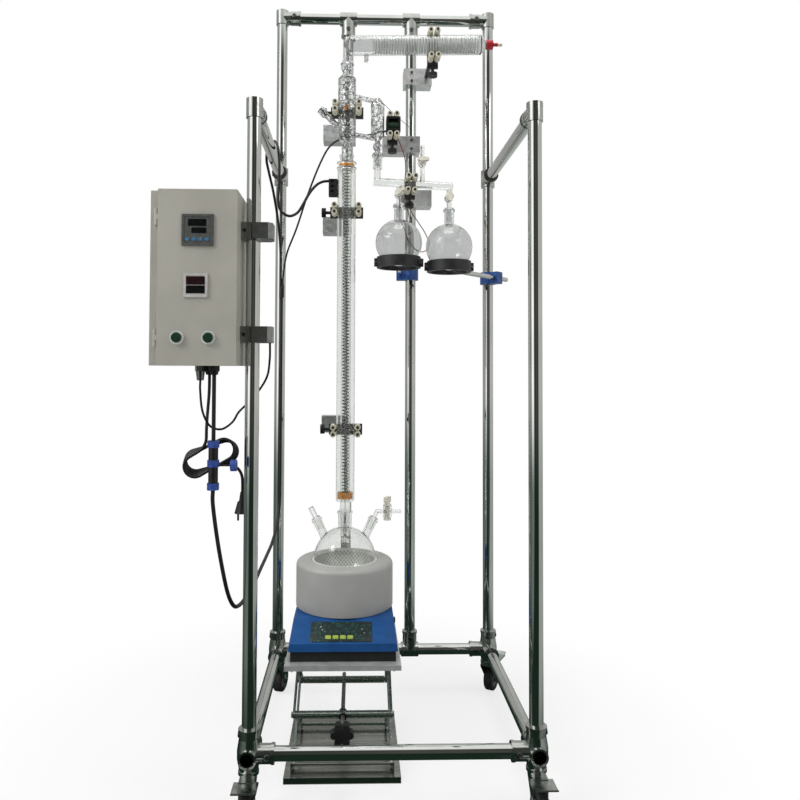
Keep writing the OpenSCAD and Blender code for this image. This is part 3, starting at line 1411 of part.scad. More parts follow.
// Inline connector of the lead, its tethered cap, and the moulded splitter higher up
module inline_connector() {
    nut_d = 26;
    nut_h = 15;
    body_d = 21;
    nut_zs = [connector_low, (connector_top + connector_low) / 2 - nut_h / 2 + 4, connector_top - nut_h];
    cap_reach = 48;
    cap_z = 773;
    color([0.05, 0.05, 0.06]) translate([lead_at[0], lead_at[1], 0]) {
        translate([0, 0, connector_low]) cylinder(d = body_d, h = connector_top - connector_low);
        for (z = nut_zs) translate([0, 0, z]) difference() {
            cylinder(d = nut_d, h = nut_h);
            for (i = [0 : 11]) rotate([0, 0, 30 * i]) translate([nut_d / 2 + 1, 0, -over])
                cylinder(d = 4, h = nut_h + 2 * over);
        }
        translate([0, 0, cap_z]) along_x() cylinder(d = 4, h = cap_reach - 8);
        translate([cap_reach - 10, 0, cap_z]) along_x() cylinder(d = 25, h = 13);
    }
    color([0.05, 0.05, 0.06]) translate([splitter_at[0], splitter_at[1], splitter_low])
        cylinder(d = 15, h = splitter_high - splitter_low);
}

module control_leads() color([0.04, 0.04, 0.04]) {
    cord(gland_route, lead_d, 8);
    cord(curve(trunk_route, 2), lead_d, 8);
    cord(curve(heater_route, 2), heater_lead_d, 8);
    cord(curve(solenoid_route, 2), solenoid_lead_d, 8);
    cord(curve(earth_route, 2), earth_lead_d, 8);
}

module power_cord() color([0.04, 0.04, 0.04]) {
    cord(curve(cord_start_route, 2), cord_d, 8);
    cord(curve(cord_end_route, 2), cord_d, 8);
}

module power_cord_hank() color([0.04, 0.04, 0.04]) cord(hank_route, cord_d, 6);

module power_plug() color([0.04, 0.04, 0.04])
    translate([plug_at[0], plug_at[1], plug_top]) rotate([180, 0, 0]) {
    relief = 22;
    body_h = 26;
    pin_len = 17;
    cylinder(d1 = cord_d + 3, d2 = 16, h = relief);
    translate([0, 0, relief]) cylinder(d1 = 22, d2 = 36, h = body_h);
    for (x = [-9.5, 9.5]) translate([x, 0, relief + body_h]) cylinder(d = 4.8, h = pin_len);
}

posts();
support_rods();
rails();
base_corner_fittings();
elbow_fittings();
tee_fittings();
caster_front_left();
caster_front_right();
caster_rear_left();
caster_rear_right();
wheel_front_left();
wheel_front_right();
wheel_rear_left();
wheel_rear_right();
jack_base();
lower_arm_b();
lower_arm_a();
upper_arm_d();
upper_arm_c();
front_trunnion();
rear_trunnion();
lift_screw();
jack_top();
stirrer_base();
mantle_shell();
mantle_nest();
boiling_flask();
neck_fittings();
sample_plug();
column_jacket();
column_tube();
column_packing();
heater_terminal();
still_head();
condenser_shell();
condenser_coil();
hose_cap();
receiver_adapter();
vent_plug();
left_plug();
right_plug();
receiver_flasks();
ring_holders();
bossheads();
clamp_blocks();
clamp_jaws();
clamp_knobs();
solenoid();
box_body();
box_door();
door_instruments();
start_button();
stop_button();
box_clamps();
cable_glands();
inline_connector();
control_leads();
power_cord();
power_cord_hank();
power_plug();
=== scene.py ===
# %% [markdown]
# # A packed distillation column on a wheeled frame
# The rig is a tall chromed tube frame that carries laboratory glass: a boiling flask in a heating
# mantle, a packed column, a still head, a coil condenser and two receivers, with a control box on one
# post. The solids come from the CAD model, so this lesson gives them their finishes and adds what CAD
# leaves out: wound wire, cables, displays, tape and small fasteners. Lengths are written in
# millimetres, as on a drawing, and one factor turns them into the metres that Blender counts in.

# %% Load the solids
from itertools import accumulate

import bmesh
import bpy
import numpy as np
from mathutils import Matrix, Vector


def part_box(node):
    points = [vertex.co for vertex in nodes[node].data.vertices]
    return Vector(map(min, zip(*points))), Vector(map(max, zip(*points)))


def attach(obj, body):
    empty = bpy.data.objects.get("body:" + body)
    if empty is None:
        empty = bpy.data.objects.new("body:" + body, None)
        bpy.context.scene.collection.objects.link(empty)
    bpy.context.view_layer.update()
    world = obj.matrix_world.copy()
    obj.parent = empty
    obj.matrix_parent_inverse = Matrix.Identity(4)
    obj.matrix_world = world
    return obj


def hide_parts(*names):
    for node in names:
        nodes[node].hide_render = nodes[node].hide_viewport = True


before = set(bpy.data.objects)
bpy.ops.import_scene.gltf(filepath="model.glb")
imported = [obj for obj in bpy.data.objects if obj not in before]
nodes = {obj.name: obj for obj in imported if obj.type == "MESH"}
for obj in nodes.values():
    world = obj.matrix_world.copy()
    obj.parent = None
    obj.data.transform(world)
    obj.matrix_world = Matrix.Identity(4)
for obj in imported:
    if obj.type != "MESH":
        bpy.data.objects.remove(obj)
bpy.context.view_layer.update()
MM = 0.001
for leftover in ("Cube", "Light", "Camera"):
    if leftover in bpy.data.objects:
        bpy.data.objects.remove(bpy.data.objects[leftover])


def span(node):
    """Lowest and highest corner of a CAD node as two arrays, in millimetres."""
    low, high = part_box(node)
    return np.array(low) / MM, np.array(high) / MM


# %% [markdown]
# ## The camera
# The photograph was taken from about two metres in front of the rig, at chest height, with a wide
# lens. The picture is not centred on the lens axis, which a small lens shift says better than a turned
# camera: turning would lean the posts. The lens is given by its focal length in pixels of the picture.

# %% Place the camera
PICTURE = 800
FOCAL_PIXELS = 735.4
EYE = (27, -2010, 986)
YAW, PITCH, ROLL = 0.0268, 0.0308, 0.004
LENS_AXIS = (-24.6, -54.4)

forward = np.array([np.sin(YAW) * np.cos(PITCH), np.cos(YAW) * np.cos(PITCH), np.sin(PITCH)])
level = np.array([np.cos(YAW), -np.sin(YAW), 0.0])
upward = np.cross(level, forward)
right = np.cos(ROLL) * level + np.sin(ROLL) * upward
upward = np.cross(right, forward)

lens = bpy.data.cameras.new("camera")
lens.sensor_width = 36
lens.lens = FOCAL_PIXELS / PICTURE * lens.sensor_width
lens.shift_x = -LENS_AXIS[0] / PICTURE
lens.shift_y = LENS_AXIS[1] / PICTURE
camera = bpy.data.objects.new("camera", lens)
turn = np.eye(4)
turn[:3, :3] = np.stack([right, upward, -forward], axis=1)
turn[:3, 3] = np.array(EYE) * MM
camera.matrix_world = Matrix(turn.tolist())
bpy.context.scene.collection.objects.link(camera)
bpy.context.scene.camera = camera
print("lens in mm:", round(lens.lens, 2))

# %% [markdown]
# ## Shader maths as Python
# A material in Blender is a graph of nodes. Wiring it by hand hides the idea, so a small class wraps a
# socket and overloads the operators: `1 - wear * 0.4` adds the Math nodes by itself.

# %% Define a term of a shader
class Term:
    """A number in a shader graph. Arithmetic on it adds Math nodes."""

    def __init__(self, finish, socket):
        self.finish = finish
        self.socket = socket

    def math(self, operation, *values):
        return self.finish.node("ShaderNodeMath", {"operation": operation}, dict(enumerate(values)))

    def __add__(self, other):
        return self.math("ADD", self, other)

    def __sub__(self, other):
        return self.math("SUBTRACT", self, other)

    def __rsub__(self, other):
        return self.math("SUBTRACT", other, self)

    def __mul__(self, other):
        return self.math("MULTIPLY", self, other)

    def __gt__(self, other):
        return self.math("GREATER_THAN", self, other)

    def __lt__(self, other):
        return self.math("LESS_THAN", self, other)

    __radd__ = __add__
    __rmul__ = __mul__

    def between(self, low, high):
        """0 at low, 1 at high, with a soft start and end."""
        ends = {"Value": self, "From Min": low, "From Max": high}
        return self.finish.node("ShaderNodeMapRange", {"interpolation_type": "SMOOTHSTEP"}, ends)


print("a term takes + - * > <")

# %% [markdown]
# ## Finishes
# A finish is one material. Every node that isn't arithmetic comes from one method, which takes its type, its
# settings and the values of its sockets. The other methods name what the finishes share, such as clouds.

# %% Define a finish
class Finish:
    """One material. Its methods add nodes and give back what comes out of them."""

    def __init__(self, name, owner=None):
        self.material = owner or bpy.data.materials.new(name)
        self.material.use_nodes = True
        self.tree = self.material.node_tree
        self.tree.nodes.clear()

    def node(self, kind, settings=None, values=None, out=0):
        made = self.tree.nodes.new(kind)
        for key, value in (settings or {}).items():
            setattr(made, key, value)
        for key, value in (values or {}).items():
            if isinstance(value, Term):
                self.tree.links.new(value.socket, made.inputs[key])
            else:
                made.inputs[key].default_value = value
        return None if out is None else Term(self, made.outputs[out])

    def place(self, stretch=(1, 1, 1), source="Object"):
        """Coordinates of the surface, in metres for Object, stretched."""
        where = self.node("ShaderNodeTexCoord", out=source)
        return self.node("ShaderNodeMapping", None, {"Vector": where, "Scale": stretch})

    def axis(self, which, source="Object"):
        """One coordinate of the surface as a number."""
        return self.node("ShaderNodeSeparateXYZ", None, {0: self.place(source=source)}, out=which)

    def away(self, keep=(1, 1, 1)):
        """Distance from the origin in metres, along the axes that keep holds a 1 for."""
        place = self.place(keep)
        return self.node("ShaderNodeVectorMath", {"operation": "LENGTH"}, {0: place}, out="Value")

    def grain(self, size, detail=3.0, stretch=(1, 1, 1)):
        """Noise from 0 to 1 whose spots are about size millimetres across."""
        values = {"Vector": self.place(stretch), "Scale": 1 / (size * MM), "Detail": detail}
        return self.node("ShaderNodeTexNoise", None, values)

    def bands(self, size, direction):
        """Smooth stripes size millimetres apart, square to one direction. At a scale of pi / 10 the node
        draws them one metre apart."""
        settings = {"wave_type": "BANDS", "bands_direction": direction}
        values = {"Vector": self.place(), "Scale": np.pi / 10 / (size * MM)}
        return self.node("ShaderNodeTexWave", settings, values, out=1)

    def mix(self, first, second, amount):
        """Colour first where amount is 0 and second where it is 1."""
        return self.node("ShaderNodeMix", {"data_type": "RGBA"}, {0: amount, 6: first, 7: second}, out=2)

    def bump(self, height, depth):
        """Normal of a surface raised by height times depth millimetres."""
        values = {"Height": height, "Distance": depth * MM, "Strength": 1.0}
        return self.node("ShaderNodeBump", None, values)

    def done(self, **sockets):
        """Ends the graph in one Principled surface. Socket names use _ for a space."""
        values = {key.replace("_", " "): value for key, value in sockets.items()}
        return self.end(self.node("ShaderNodeBsdfPrincipled", None, values))

    def end(self, surface, kind="ShaderNodeOutputMaterial"):
        self.node(kind, None, {"Surface": surface}, out=None)
        return self.material

    def seen(self):
        """1 for rays from the eye, straight or by way of metal and glass, and 0 for bounced light."""
        names = ("Is Camera Ray", "Is Glossy Ray", "Is Transmission Ray")
        eye, gloss, through = (self.node("ShaderNodeLightPath", out=name) for name in names)
        return eye.math("MAXIMUM", eye.math("MAXIMUM", eye, gloss), through)


def rgb(red, green, blue):
    """A colour as screens write it, from 0 to 255, turned into amounts of light."""
    light = ((np.array([red, green, blue]) / 255 + 0.055) / 1.055) ** 2.4
    return (*light.tolist(), 1.0)


print("mid grey as light:", round(rgb(128, 128, 128)[0], 3))

# %% [markdown]
# ## Shapes as arrays
# Every added piece is a grid of points worked out in one go: a profile turned round an axis, a ring
# carried along a path, or a rounded outline carried forwards. Blender has tools for each of these by
# hand, but an array keeps the formula in sight and lets a size be changed later. A shape holds its
# points in millimetres and the four-cornered faces between neighbours, and shapes add up.

# %% Define the shape tools
class Shape:
    """Points in millimetres and the four-cornered faces between them."""

    def __init__(self, points, faces):
        self.points = np.asarray(points, float).reshape(-1, 3)
        self.faces = np.asarray(faces, int).reshape(-1, 4)

    def __add__(self, other):
        points = np.vstack([self.points, other.points])
        return Shape(points, np.vstack([self.faces, other.faces + len(self.points)]))

    def at(self, place=(0, 0, 0), turn=np.eye(3)):
        """The same shape, first turned about the origin and then moved."""
        return Shape(self.points @ np.asarray(turn).T + np.asarray(place, float), self.faces)


def joined(shapes):
    """One shape from several."""
    first, *others = shapes
    return sum(others, first)


def turned(axis, degrees):
    """The matrix of a turn about X, Y or Z."""
    return np.array(Matrix.Rotation(np.radians(degrees), 3, axis))


def net(points):
    """Faces between neighbours of rows of points. Each row is a closed ring, so its end meets its start."""
    rows, columns = points.shape[:2]
    here = np.arange(columns)
    beside = (here + 1) % columns
    row = np.arange(rows - 1)[:, None] * columns
    corners = [row + here, row + beside, row + columns + beside, row + columns + here]
    return Shape(points, np.stack(corners, axis=-1))


def around(sides):
    """Equal angles round a circle."""
    return np.arange(sides) * 2 * np.pi / sides


def revolve(profile, sides=48):
    """Each radius and height of the profile becomes a ring: x = r cos a, y = r sin a, z = height."""
    radius, height = np.array(profile, float).T[:, :, None]
    angle = around(sides)
    rings = [radius * np.cos(angle), radius * np.sin(angle), height + 0 * angle]
    return net(np.stack(rings, axis=-1))


def sweep(path, radius, sides=10):
    """A ring carried along a path and closed at both ends. From point to point its side vector is only
    pressed flat against the new direction, so the ring never twists."""
    path = np.asarray(path, float)
    way = np.gradient(path, axis=0)
    way /= np.linalg.norm(way, axis=1, keepdims=True)

    def carry(side, direction):
        flat = side - direction * (side @ direction)
        return flat / np.linalg.norm(flat)

    side = np.array(list(accumulate(way, carry, initial=np.array([0.31, 0.52, 0.79]))))[1:, None]
    other = np.cross(way[:, None], side)
    angle = around(sides)[:, None]
    size = np.broadcast_to(radius, len(path))[:, None, None]
    rings = path[:, None] + size * (np.cos(angle) * side + np.sin(angle) * other)
    ends = np.repeat(path[[0, -1], None], sides, axis=1)
    return net(np.concatenate([ends[:1], rings, ends[1:]]))


def slab(width, height, depth, corner=2.0, edge=0.5):
    """A rounded rectangle in X and Z that comes forwards along -Y by its depth, with an eased front edge.
    A point of the outline is the nearest corner's centre plus the corner radius along its own angle."""
    angle = (np.linspace(0, np.pi / 2, 7) + np.arange(4)[:, None] * np.pi / 2).ravel()
    across = np.repeat([1, -1, -1, 1], 7) * (width / 2 - corner)
    upwards = np.repeat([1, 1, -1, -1], 7) * (height / 2 - corner)
    radius = np.array([0, corner, corner, corner - edge, 0])[:, None]
    spread = np.array([0, 1, 1, 1, 0])[:, None]
    front = np.array([0, 0, edge - depth, -depth, -depth], float)[:, None]
    rows = [spread * across + radius * np.cos(angle), front + 0 * angle,
            spread * upwards + radius * np.sin(angle)]
    return net(np.stack(rows, axis=-1))


print("a plain slab has", len(slab(20, 10, 2).faces), "faces")

# %% [markdown]
# ## From a shape to a piece
# A shape becomes a mesh object at the origin with its place in its points, as the CAD solids have. Points
# that meet at seams and poles are merged, and the faces are turned outwards. Each piece then rides on the
# body it is fixed to, so it moves with the real joint.

# %% Define how a piece is made
SHARP = 40


def make(name, shape, finish):
    """A mesh object from a shape, smooth except where two faces meet at more than SHARP degrees."""
    mesh = bpy.data.meshes.new(name)
    mesh.from_pydata(shape.points * MM, [], shape.faces.tolist())
    work = bmesh.new()
    work.from_mesh(mesh)
    bmesh.ops.remove_doubles(work, verts=work.verts, dist=1e-6)
    bmesh.ops.recalc_face_normals(work, faces=work.faces)
    work.to_mesh(mesh)
    work.free()
    mesh.polygons.foreach_set("use_smooth", np.ones(len(mesh.polygons), bool))
    mesh.set_sharp_from_angle(angle=np.radians(SHARP))
    mesh.materials.append(finish)
    made = bpy.data.objects.new(name, mesh)
    bpy.context.scene.collection.objects.link(made)
    return made


def piece(name, shape, finish, body="rig", replaces=()):
    """A made shape that rides on a body, takes a material slot and may stand for CAD nodes."""
    made = make(name, shape, finish)
    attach(made, body)
    if replaces:
        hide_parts(*replaces)
    return made


def read(items, field, width=1, kind=float):
    """One field of all points, corners or faces of a mesh as an array, with width numbers in a row."""
    values = np.empty(len(items) * width, kind)
    items.foreach_get(field, values)
    return values.reshape(-1, width) if width > 1 else values


def dress_parts(name, finishes, choose):
    """Several finishes on one CAD node. choose gets the faces' middles in millimetres and numbers them."""
    mesh = nodes[name].data
    middles = read(mesh.polygons, "center", 3) / MM
    mesh.materials.clear()
    for finish in finishes:
        mesh.materials.append(finish)
    number = np.asarray(choose(*middles.T))
    mesh.polygons.foreach_set("material_index", number.astype(np.int32))


def dress(finish, *names):
    """One finish on whole CAD nodes."""
    for name in names:
        dress_parts(name, [finish], lambda x, y, z: np.zeros(len(x), int))


print("ready to dress", len(nodes), "solids")

# %% [markdown]
# ## Floor and daylight
# The rig stands before plain white. Lamps that light a floor to white would bleach the rig too, so what the
# eye sees of sky and floor is white by itself, and the light that they cast stays low. Close to the rig the
# floor is partly matt, which keeps the shadow at the castors.

# %% Lay the floor
bpy.context.scene.view_settings.view_transform = "Standard"
WHITE = (1.0, 1.0, 1.0, 1.0)
FLOOR_R, FLOOR_Z = 2800, -0.5

sky = Finish("sky", bpy.data.worlds.new("sky"))
daylight = sky.node("ShaderNodeBackground", None, {"Color": WHITE, "Strength": 0.36 + 0.64 * sky.seen()})
bpy.context.scene.world = sky.end(daylight, "ShaderNodeOutputWorld")

ground = Finish("studio_floor")
matt = ground.node("ShaderNodeBsdfDiffuse", None, {"Color": rgb(238, 238, 237)})
glow = ground.node("ShaderNodeEmission", None, {"Color": WHITE})
share = ground.seen() * (0.74 + 0.26 * ground.away((1, 1, 0)).between(0.45, 1.15))
ground.end(ground.node("ShaderNodeMixShader", None, {0: share, 1: matt, 2: glow}))
disc = revolve([(0, FLOOR_Z), (500, FLOOR_Z), (FLOOR_R, FLOOR_Z)], 64)
floor = make("studio_floor", disc, ground.material)
print("floor radius in mm:", FLOOR_R)

# %% [markdown]
# ## A room for the reflections
# Polished tube shows only what stands round it, so a room that reflections alone see goes all round the rig:
# dark behind the camera, a bright window to its left, grey walls at the sides, green tones near the ground
# and a pale ceiling. A tube squeezes the whole round of it into its width, which draws the dark and bright
# lines. The room is a turned drum, and its colours follow the angle round it and the height.

# %% Paint the room
ROOM_R, ROOM_Z = 3500, 3000
wall = Finish("studio_wall")
angle = wall.axis("X").math("ARCTAN2", wall.axis("X"), wall.axis("Y") * -1)
height = wall.axis("Z")
high_up = height.between(0.05, 0.9)
window = angle.between(-1.25, -1.05) * (1 - angle.between(-0.6, -0.42))
behind = angle.between(-0.5, -0.35) * (1 - angle.between(0.62, 0.74))
left_side = wall.mix(rgb(80, 88, 82), rgb(148, 147, 145), high_up)
right_side = wall.mix(rgb(146, 149, 145), rgb(176, 174, 171), high_up - angle.between(1.8, 2.8) * 0.5)
sides = wall.mix(left_side, right_side, angle.between(0.5, 0.7))
shadows = wall.mix(rgb(24, 38, 30), rgb(70, 68, 66), high_up * (0.7 + 0.3 * angle.math("SINE", angle * 9)))
pane = wall.mix(rgb(98, 108, 100), rgb(250, 250, 248), high_up)
room = wall.mix(wall.mix(sides, shadows, behind), pane, window)
room = wall.mix(rgb(26, 40, 32), room, wall.away().between(0.5, 1.4))
ceiling = height.between(2.9, 3.05) * (1 - wall.away((1, 1, 0)).between(1.7, 2.5))
room = wall.mix(room, rgb(224, 223, 221), ceiling)
wall.end(wall.node("ShaderNodeEmission", None, {"Color": room, "Strength": 1.4}))
drum = revolve([(0, 1), (ROOM_R, 1), (ROOM_R, ROOM_Z), (0, ROOM_Z + 300)], 96)
flags = make("studio_flags", drum, wall.material)
flags.visible_camera = flags.visible_diffuse = flags.visible_transmission = False
flags.visible_shadow = flags.visible_volume_scatter = False
print("room height in mm:", ROOM_Z)

# %% [markdown]
# ## Lamps
# A small lamp draws hard shadows, so three large area lamps light the rig: a key lamp at the upper left, a
# weak fill at the right and one overhead. An area lamp shines along its own -Z, which is turned to the aim.

# %% Hang the lamps
def lamp(name, place, aim, size, watts):
    """A square lamp at a place in metres, turned towards its aim and unseen by the camera."""
    light = bpy.data.lights.new(name, "AREA")
    light.size, light.energy = size, watts
    holder = bpy.data.objects.new(name, light)
    holder.location = place
    holder.rotation_euler = (Vector(aim) - Vector(place)).to_track_quat("-Z", "Y").to_euler()
    holder.visible_camera = False
    bpy.context.scene.collection.objects.link(holder)


lamp("key_lamp", (-2.9, -1.7, 3.3), (0, 0, 1.0), 1.6, 80)
lamp("fill_lamp", (2.6, -2.4, 2.4), (0, 0, 1.0), 1.8, 16)
lamp("top_lamp", (0.1, -0.3, 3.6), (0.1, 0, 0.8), 1.4, 50)

# %% [markdown]
# ## Chromed frame
# The tubes are chrome-plated steel, mirror bright with faint polishing haze. The cast fittings at the corners
# have the same plating over a rougher casting, so they blur what they mirror. One function covers all bare
# and plated metals: clouds in the colour and in the roughness, and fine scratches as bump.

# %% Dress the frame
def metal(name, light, dark, shine=(0.05, 0.12), spots=30, stretch=(1, 1, 1), scratch=0.01, fine=0.8):
    """Metal that drifts between two greys and two roughnesses in spots, with fine scratches."""
    finish = Finish(name)
    cloud = finish.grain(spots, 4, stretch).between(0.3, 0.7)
    scratches = finish.grain(fine, 2, stretch)
    return finish.done(
        Base_Color=finish.mix(rgb(*dark), rgb(*light), cloud), Metallic=1.0,
        Roughness=shine[1] - cloud * (shine[1] - shine[0]), Normal=finish.bump(scratches, scratch))


chrome_tube = metal("chrome_tube", (216, 219, 217), (206, 210, 207), (0.03, 0.05), 90, scratch=0.002)
cast_fitting = metal("cast_fitting", (196, 199, 196), (178, 181, 178), (0.1, 0.19), 16, scratch=0.015)
dress(chrome_tube, "posts", "support_rods", "rails")
dress(cast_fitting, "elbow_fittings", "tee_fittings")
# The open bores of the base corner fittings are painted near black: painted shade inside the holes.
bore_painted_shade = metal("fitting_bore_painted_shade", (30, 31, 31), (18, 19, 19), (0.5, 0.6), 16)
POST_X, POST_Y = (-205, 435), (-350, 250)
RAIL_LOW, RAIL_SIDE, RAIL_TOP = 133, 1574, 2071
BORE_R = 16.6
dress_parts("base_corner_fittings", [cast_fitting, bore_painted_shade], lambda x, y, z: np.minimum(
    *(np.hypot(x - post, z - RAIL_LOW) for post in POST_X)) < BORE_R)
print("tube height in mm:", span("posts")[1][2].round())

# %% [markdown]
# ## Set screws
# Each fitting grips its tube with a socket set screw in a small raised boss. A screw is a turned profile:
# the boss, the rim and the dark hollow of the socket. It is placed along each sleeve on the side that faces
# outwards.

# %% Add the set screws
set_screw = revolve([
    (0, -4), (7, -4), (7, 1.6), (6, 2.4), (4.6, 2.4), (4.2, 1.8), (2.4, 1.8), (2.2, 0), (0, 0)], 18)
FRONT, LEFT, RIGHT = turned("X", 90), turned("Y", -90), turned("Y", 90)
ROD_X = (0, 195)
SLEEVE_R, SLEEVE = 21, 38
CORNER_UP, CORNER_ALONG = 43, 42
screws = []
for x, side, inwards in ((POST_X[0], LEFT, 1), (POST_X[1], RIGHT, -1)):
    for y in POST_Y:
        screws.append(set_screw.at((x - inwards * (SLEEVE_R + 0.8), y, RAIL_LOW + CORNER_UP), side))
        screws.append(set_screw.at((x + inwards * CORNER_ALONG, y - SLEEVE_R + 0.2, RAIL_LOW), FRONT))
    for y in (POST_Y[0] + SLEEVE, POST_Y[1] - SLEEVE):
        screws.append(set_screw.at((x - inwards * SLEEVE_R, y, RAIL_SIDE), side))
    screws.append(set_screw.at((x + inwards * SLEEVE, POST_Y[1] - SLEEVE_R, RAIL_TOP), FRONT))
for x in ROD_X:
    for height in (RAIL_TOP - SLEEVE, RAIL_LOW + SLEEVE):
        screws.append(set_screw.at((x, POST_Y[1] - SLEEVE_R, height), FRONT))
screw_steel = metal("socket_screw", (120, 122, 120), (88, 90, 89), (0.25, 0.4), 6)
piece("fitting_screws", joined(screws), screw_steel)
print("set screws:", len(screws))

# %% [markdown]
# ## Castors
# The forks are zinc-bright pressed steel. A wheel is one solid in CAD, but on the real castor a black rubber
# tyre is bonded on a grey hub, so the faces are told apart by their distance from the axle.

# %% Dress the castors
def coat(name, light, dark, shine=(0.35, 0.5), spots=40, peel=1.5, depth=0.03, metallic=0.0, gloss=0.5):
    """Paint or plastic: two close tones in soft clouds, and the pebbled skin of sprayed or moulded work."""
    finish = Finish(name)
    cloud = finish.grain(spots, 4).between(0.3, 0.7)
    skin = finish.grain(peel, 2)
    return finish.done(
        Base_Color=finish.mix(rgb(*dark), rgb(*light), cloud), Metallic=metallic, Specular_IOR_Level=gloss,
        Roughness=shine[0] + skin * (shine[1] - shine[0]), Normal=finish.bump(skin, depth))


castor_steel = metal("castor_steel", (196, 200, 197), (160, 165, 161), (0.14, 0.28), 20, scratch=0.03)
tyre_rubber = coat("tyre_rubber", (40, 40, 41), (26, 26, 27), (0.6, 0.8), 12, 1.0, 0.06)
hub_plastic = coat("hub_plastic", (118, 120, 120), (98, 100, 100), (0.4, 0.55), 12, 1.0, 0.03)
TYRE = 8
for corner in ("front_left", "front_right", "rear_left", "rear_right"):
    dress(castor_steel, "caster_" + corner)
    low, high = span("wheel_" + corner)
    axle = (low + high) / 2
    wheel_r = (high[2] - low[2]) / 2
    dress_parts("wheel_" + corner, [tyre_rubber, hub_plastic], lambda x, y, z: np.sqrt(
        (x - axle[0]) ** 2 + (y - axle[1]) ** 2 + (z - axle[2]) ** 2) < wheel_r - TYRE)
print("wheel radius in mm:", wheel_r.round(1))

# %% [markdown]
# ## Lab jack
# The base plate is brushed stainless sheet, so the grain of the noise is drawn out along X, and the top plate
# is duller sheet. The arms are bead-blasted bars. The lifting screw carries a rolled thread: a band pattern
# along Y raises it as bump, which costs no faces, and darkens its roots as painted shade. Its star knob is
# black moulded plastic, told apart by where it sits in front of the jack.

# %% Dress the jack
jack_plate = metal("jack_plate", (176, 178, 174), (156, 158, 154), (0.2, 0.3), 9, (0.04, 1, 1), 0.006)
jack_sheet = coat("jack_sheet", (196, 199, 197), (178, 181, 179), (0.3, 0.42), 30, 1.2, 0.02, metallic=0.45)
jack_arm = metal("jack_arm", (184, 196, 189), (152, 164, 157), (0.2, 0.34), 14, (1, 0.15, 1), 0.01)
dress(jack_plate, "jack_base")
dress(jack_sheet, "jack_top")
dress(jack_arm, "lower_arm_a", "lower_arm_b", "upper_arm_c", "upper_arm_d", "front_trunnion", "rear_trunnion")

thread = Finish("screw_thread")
turns = thread.bands(3.0, "Y")
# The dark steel in the roots of the thread is painted shade; the same bands raise the crests as bump.
thread_painted_shade_tone = thread.mix(rgb(84, 88, 85), rgb(176, 180, 177), turns)
thread_steel = thread.done(Base_Color=thread_painted_shade_tone, Metallic=1.0, Roughness=0.2 + thread.grain(4) * 0.15,
                           Normal=thread.bump(turns, 0.8))
black_plastic = coat("black_plastic", (24, 24, 25), (14, 14, 15), (0.38, 0.52), 20, 0.9, 0.03)
KNOB_DEEP = 30
knob_back = span("lift_screw")[0][1] + KNOB_DEEP
dress_parts("lift_screw", [thread_steel, black_plastic], lambda x, y, z: y < knob_back)
print("knob ends at Y in mm:", knob_back.round())

# %% [markdown]
# ## Stirrer housing
# The housing is blue painted sheet on a black moulded foot, with a keypad film on its sloping front. The
# slope gives the frame that the keypad's parts are laid out in: across, up the slope, and out of it. The
# film, the display and the four keys are thin rounded slabs set on one another.

# %% Dress the stirrer
stirrer_paint = coat("stirrer_paint", (20, 80, 142), (12, 66, 122), (0.36, 0.48), 60, 1.2, 0.02, gloss=0.2)
stirrer_foot = coat("stirrer_foot", (26, 27, 28), (16, 17, 18), (0.45, 0.6), 30, 0.8, 0.04)
FOOT_HIGH = 24.5
foot_top = span("stirrer_base")[0][2] + FOOT_HIGH
dress_parts("stirrer_base", [stirrer_paint, stirrer_foot], lambda x, y, z: z < foot_top)

film = Finish("keypad_film")
print_tone = film.grain(9, 5)
film_tone = film.mix(rgb(14, 28, 28), rgb(30, 82, 74), print_tone.between(0.45, 0.75))
keypad_film = film.done(Base_Color=film_tone, Roughness=0.18 + film.grain(3) * 0.12,
                        Normal=film.bump(film.grain(1.2), 0.02))
display_glass = coat("display_glass", (30, 66, 62), (16, 34, 34), (0.06, 0.14), 14, 4, 0.01)
key_rubber = coat("key_rubber", (166, 186, 74), (136, 158, 54), (0.35, 0.5), 5, 0.7, 0.03)
legend_white = coat("legend_white", (150, 158, 152), (120, 128, 122), (0.3, 0.45), 6, 0.8, 0.02)

stirrer_floor = span("jack_top")[1][2]
slope_low = np.array([0, -212, stirrer_floor + 44])
slope_rise = np.array([0, 84, 28])
slope_angle = np.degrees(np.arctan2(slope_rise[2], slope_rise[1]))
LAY_BACK = turned("X", slope_angle - 90)


def on_slope(shape, across, up, out=0.0):
    """Lays a slab that stands in X and Z onto the slope: up runs along the slope from its front edge."""
    return shape.at((across, -out, up)).at(slope_low, LAY_BACK)


FILM = 1.4
piece("keypad", on_slope(slab(152, 76, FILM, 6, 0.6), -5, 44), keypad_film, "jack_table")
display = on_slope(slab(62, 34, 0.8, 3, 0.3), -3, 55, FILM)
piece("keypad_display", display, display_glass, "jack_table")
keys = [on_slope(slab(14, 13, 1.6, 2, 0.6), -37 + 18 * step, 22, FILM) for step in range(4)]
piece("keypad_keys", joined(keys), key_rubber, "jack_table")
marks = [on_slope(revolve([(0, 0), (r, 0), (r, 0.6), (0, 0.6)], 20).at(turn=FRONT), across, up, 1.2)
         for across, up, r in ((-52, 50, 2), (-56, 62, 2.5), (-46, 44, 1.5), (46, 52, 2), (52, 38, 1.5))]
piece("keypad_marks", joined(marks), legend_white, "jack_table")
rocker = slab(16, 12, 4, 2, 1).at((130, -60, stirrer_floor + 50), turned("Z", 90))
piece("stirrer_switch", rocker, black_plastic, "jack_table")
print("slope of the panel in degrees:", slope_angle.round(1))

# %% [markdown]
# ## Heating mantle
# The shell is spun aluminium in pale grey enamel. It is turned again from one profile, with the soft bend at
# the top that spinning leaves. A bevel on the CAD solid would round its inner edges too.

# %% Dress the mantle
mantle_enamel = coat("mantle_enamel", (172, 172, 169), (163, 163, 160), (0.3, 0.42), 90, 1.6, 0.03)
shell_foot, shell_top = span("mantle_shell")[0][2], span("mantle_shell")[1][2]


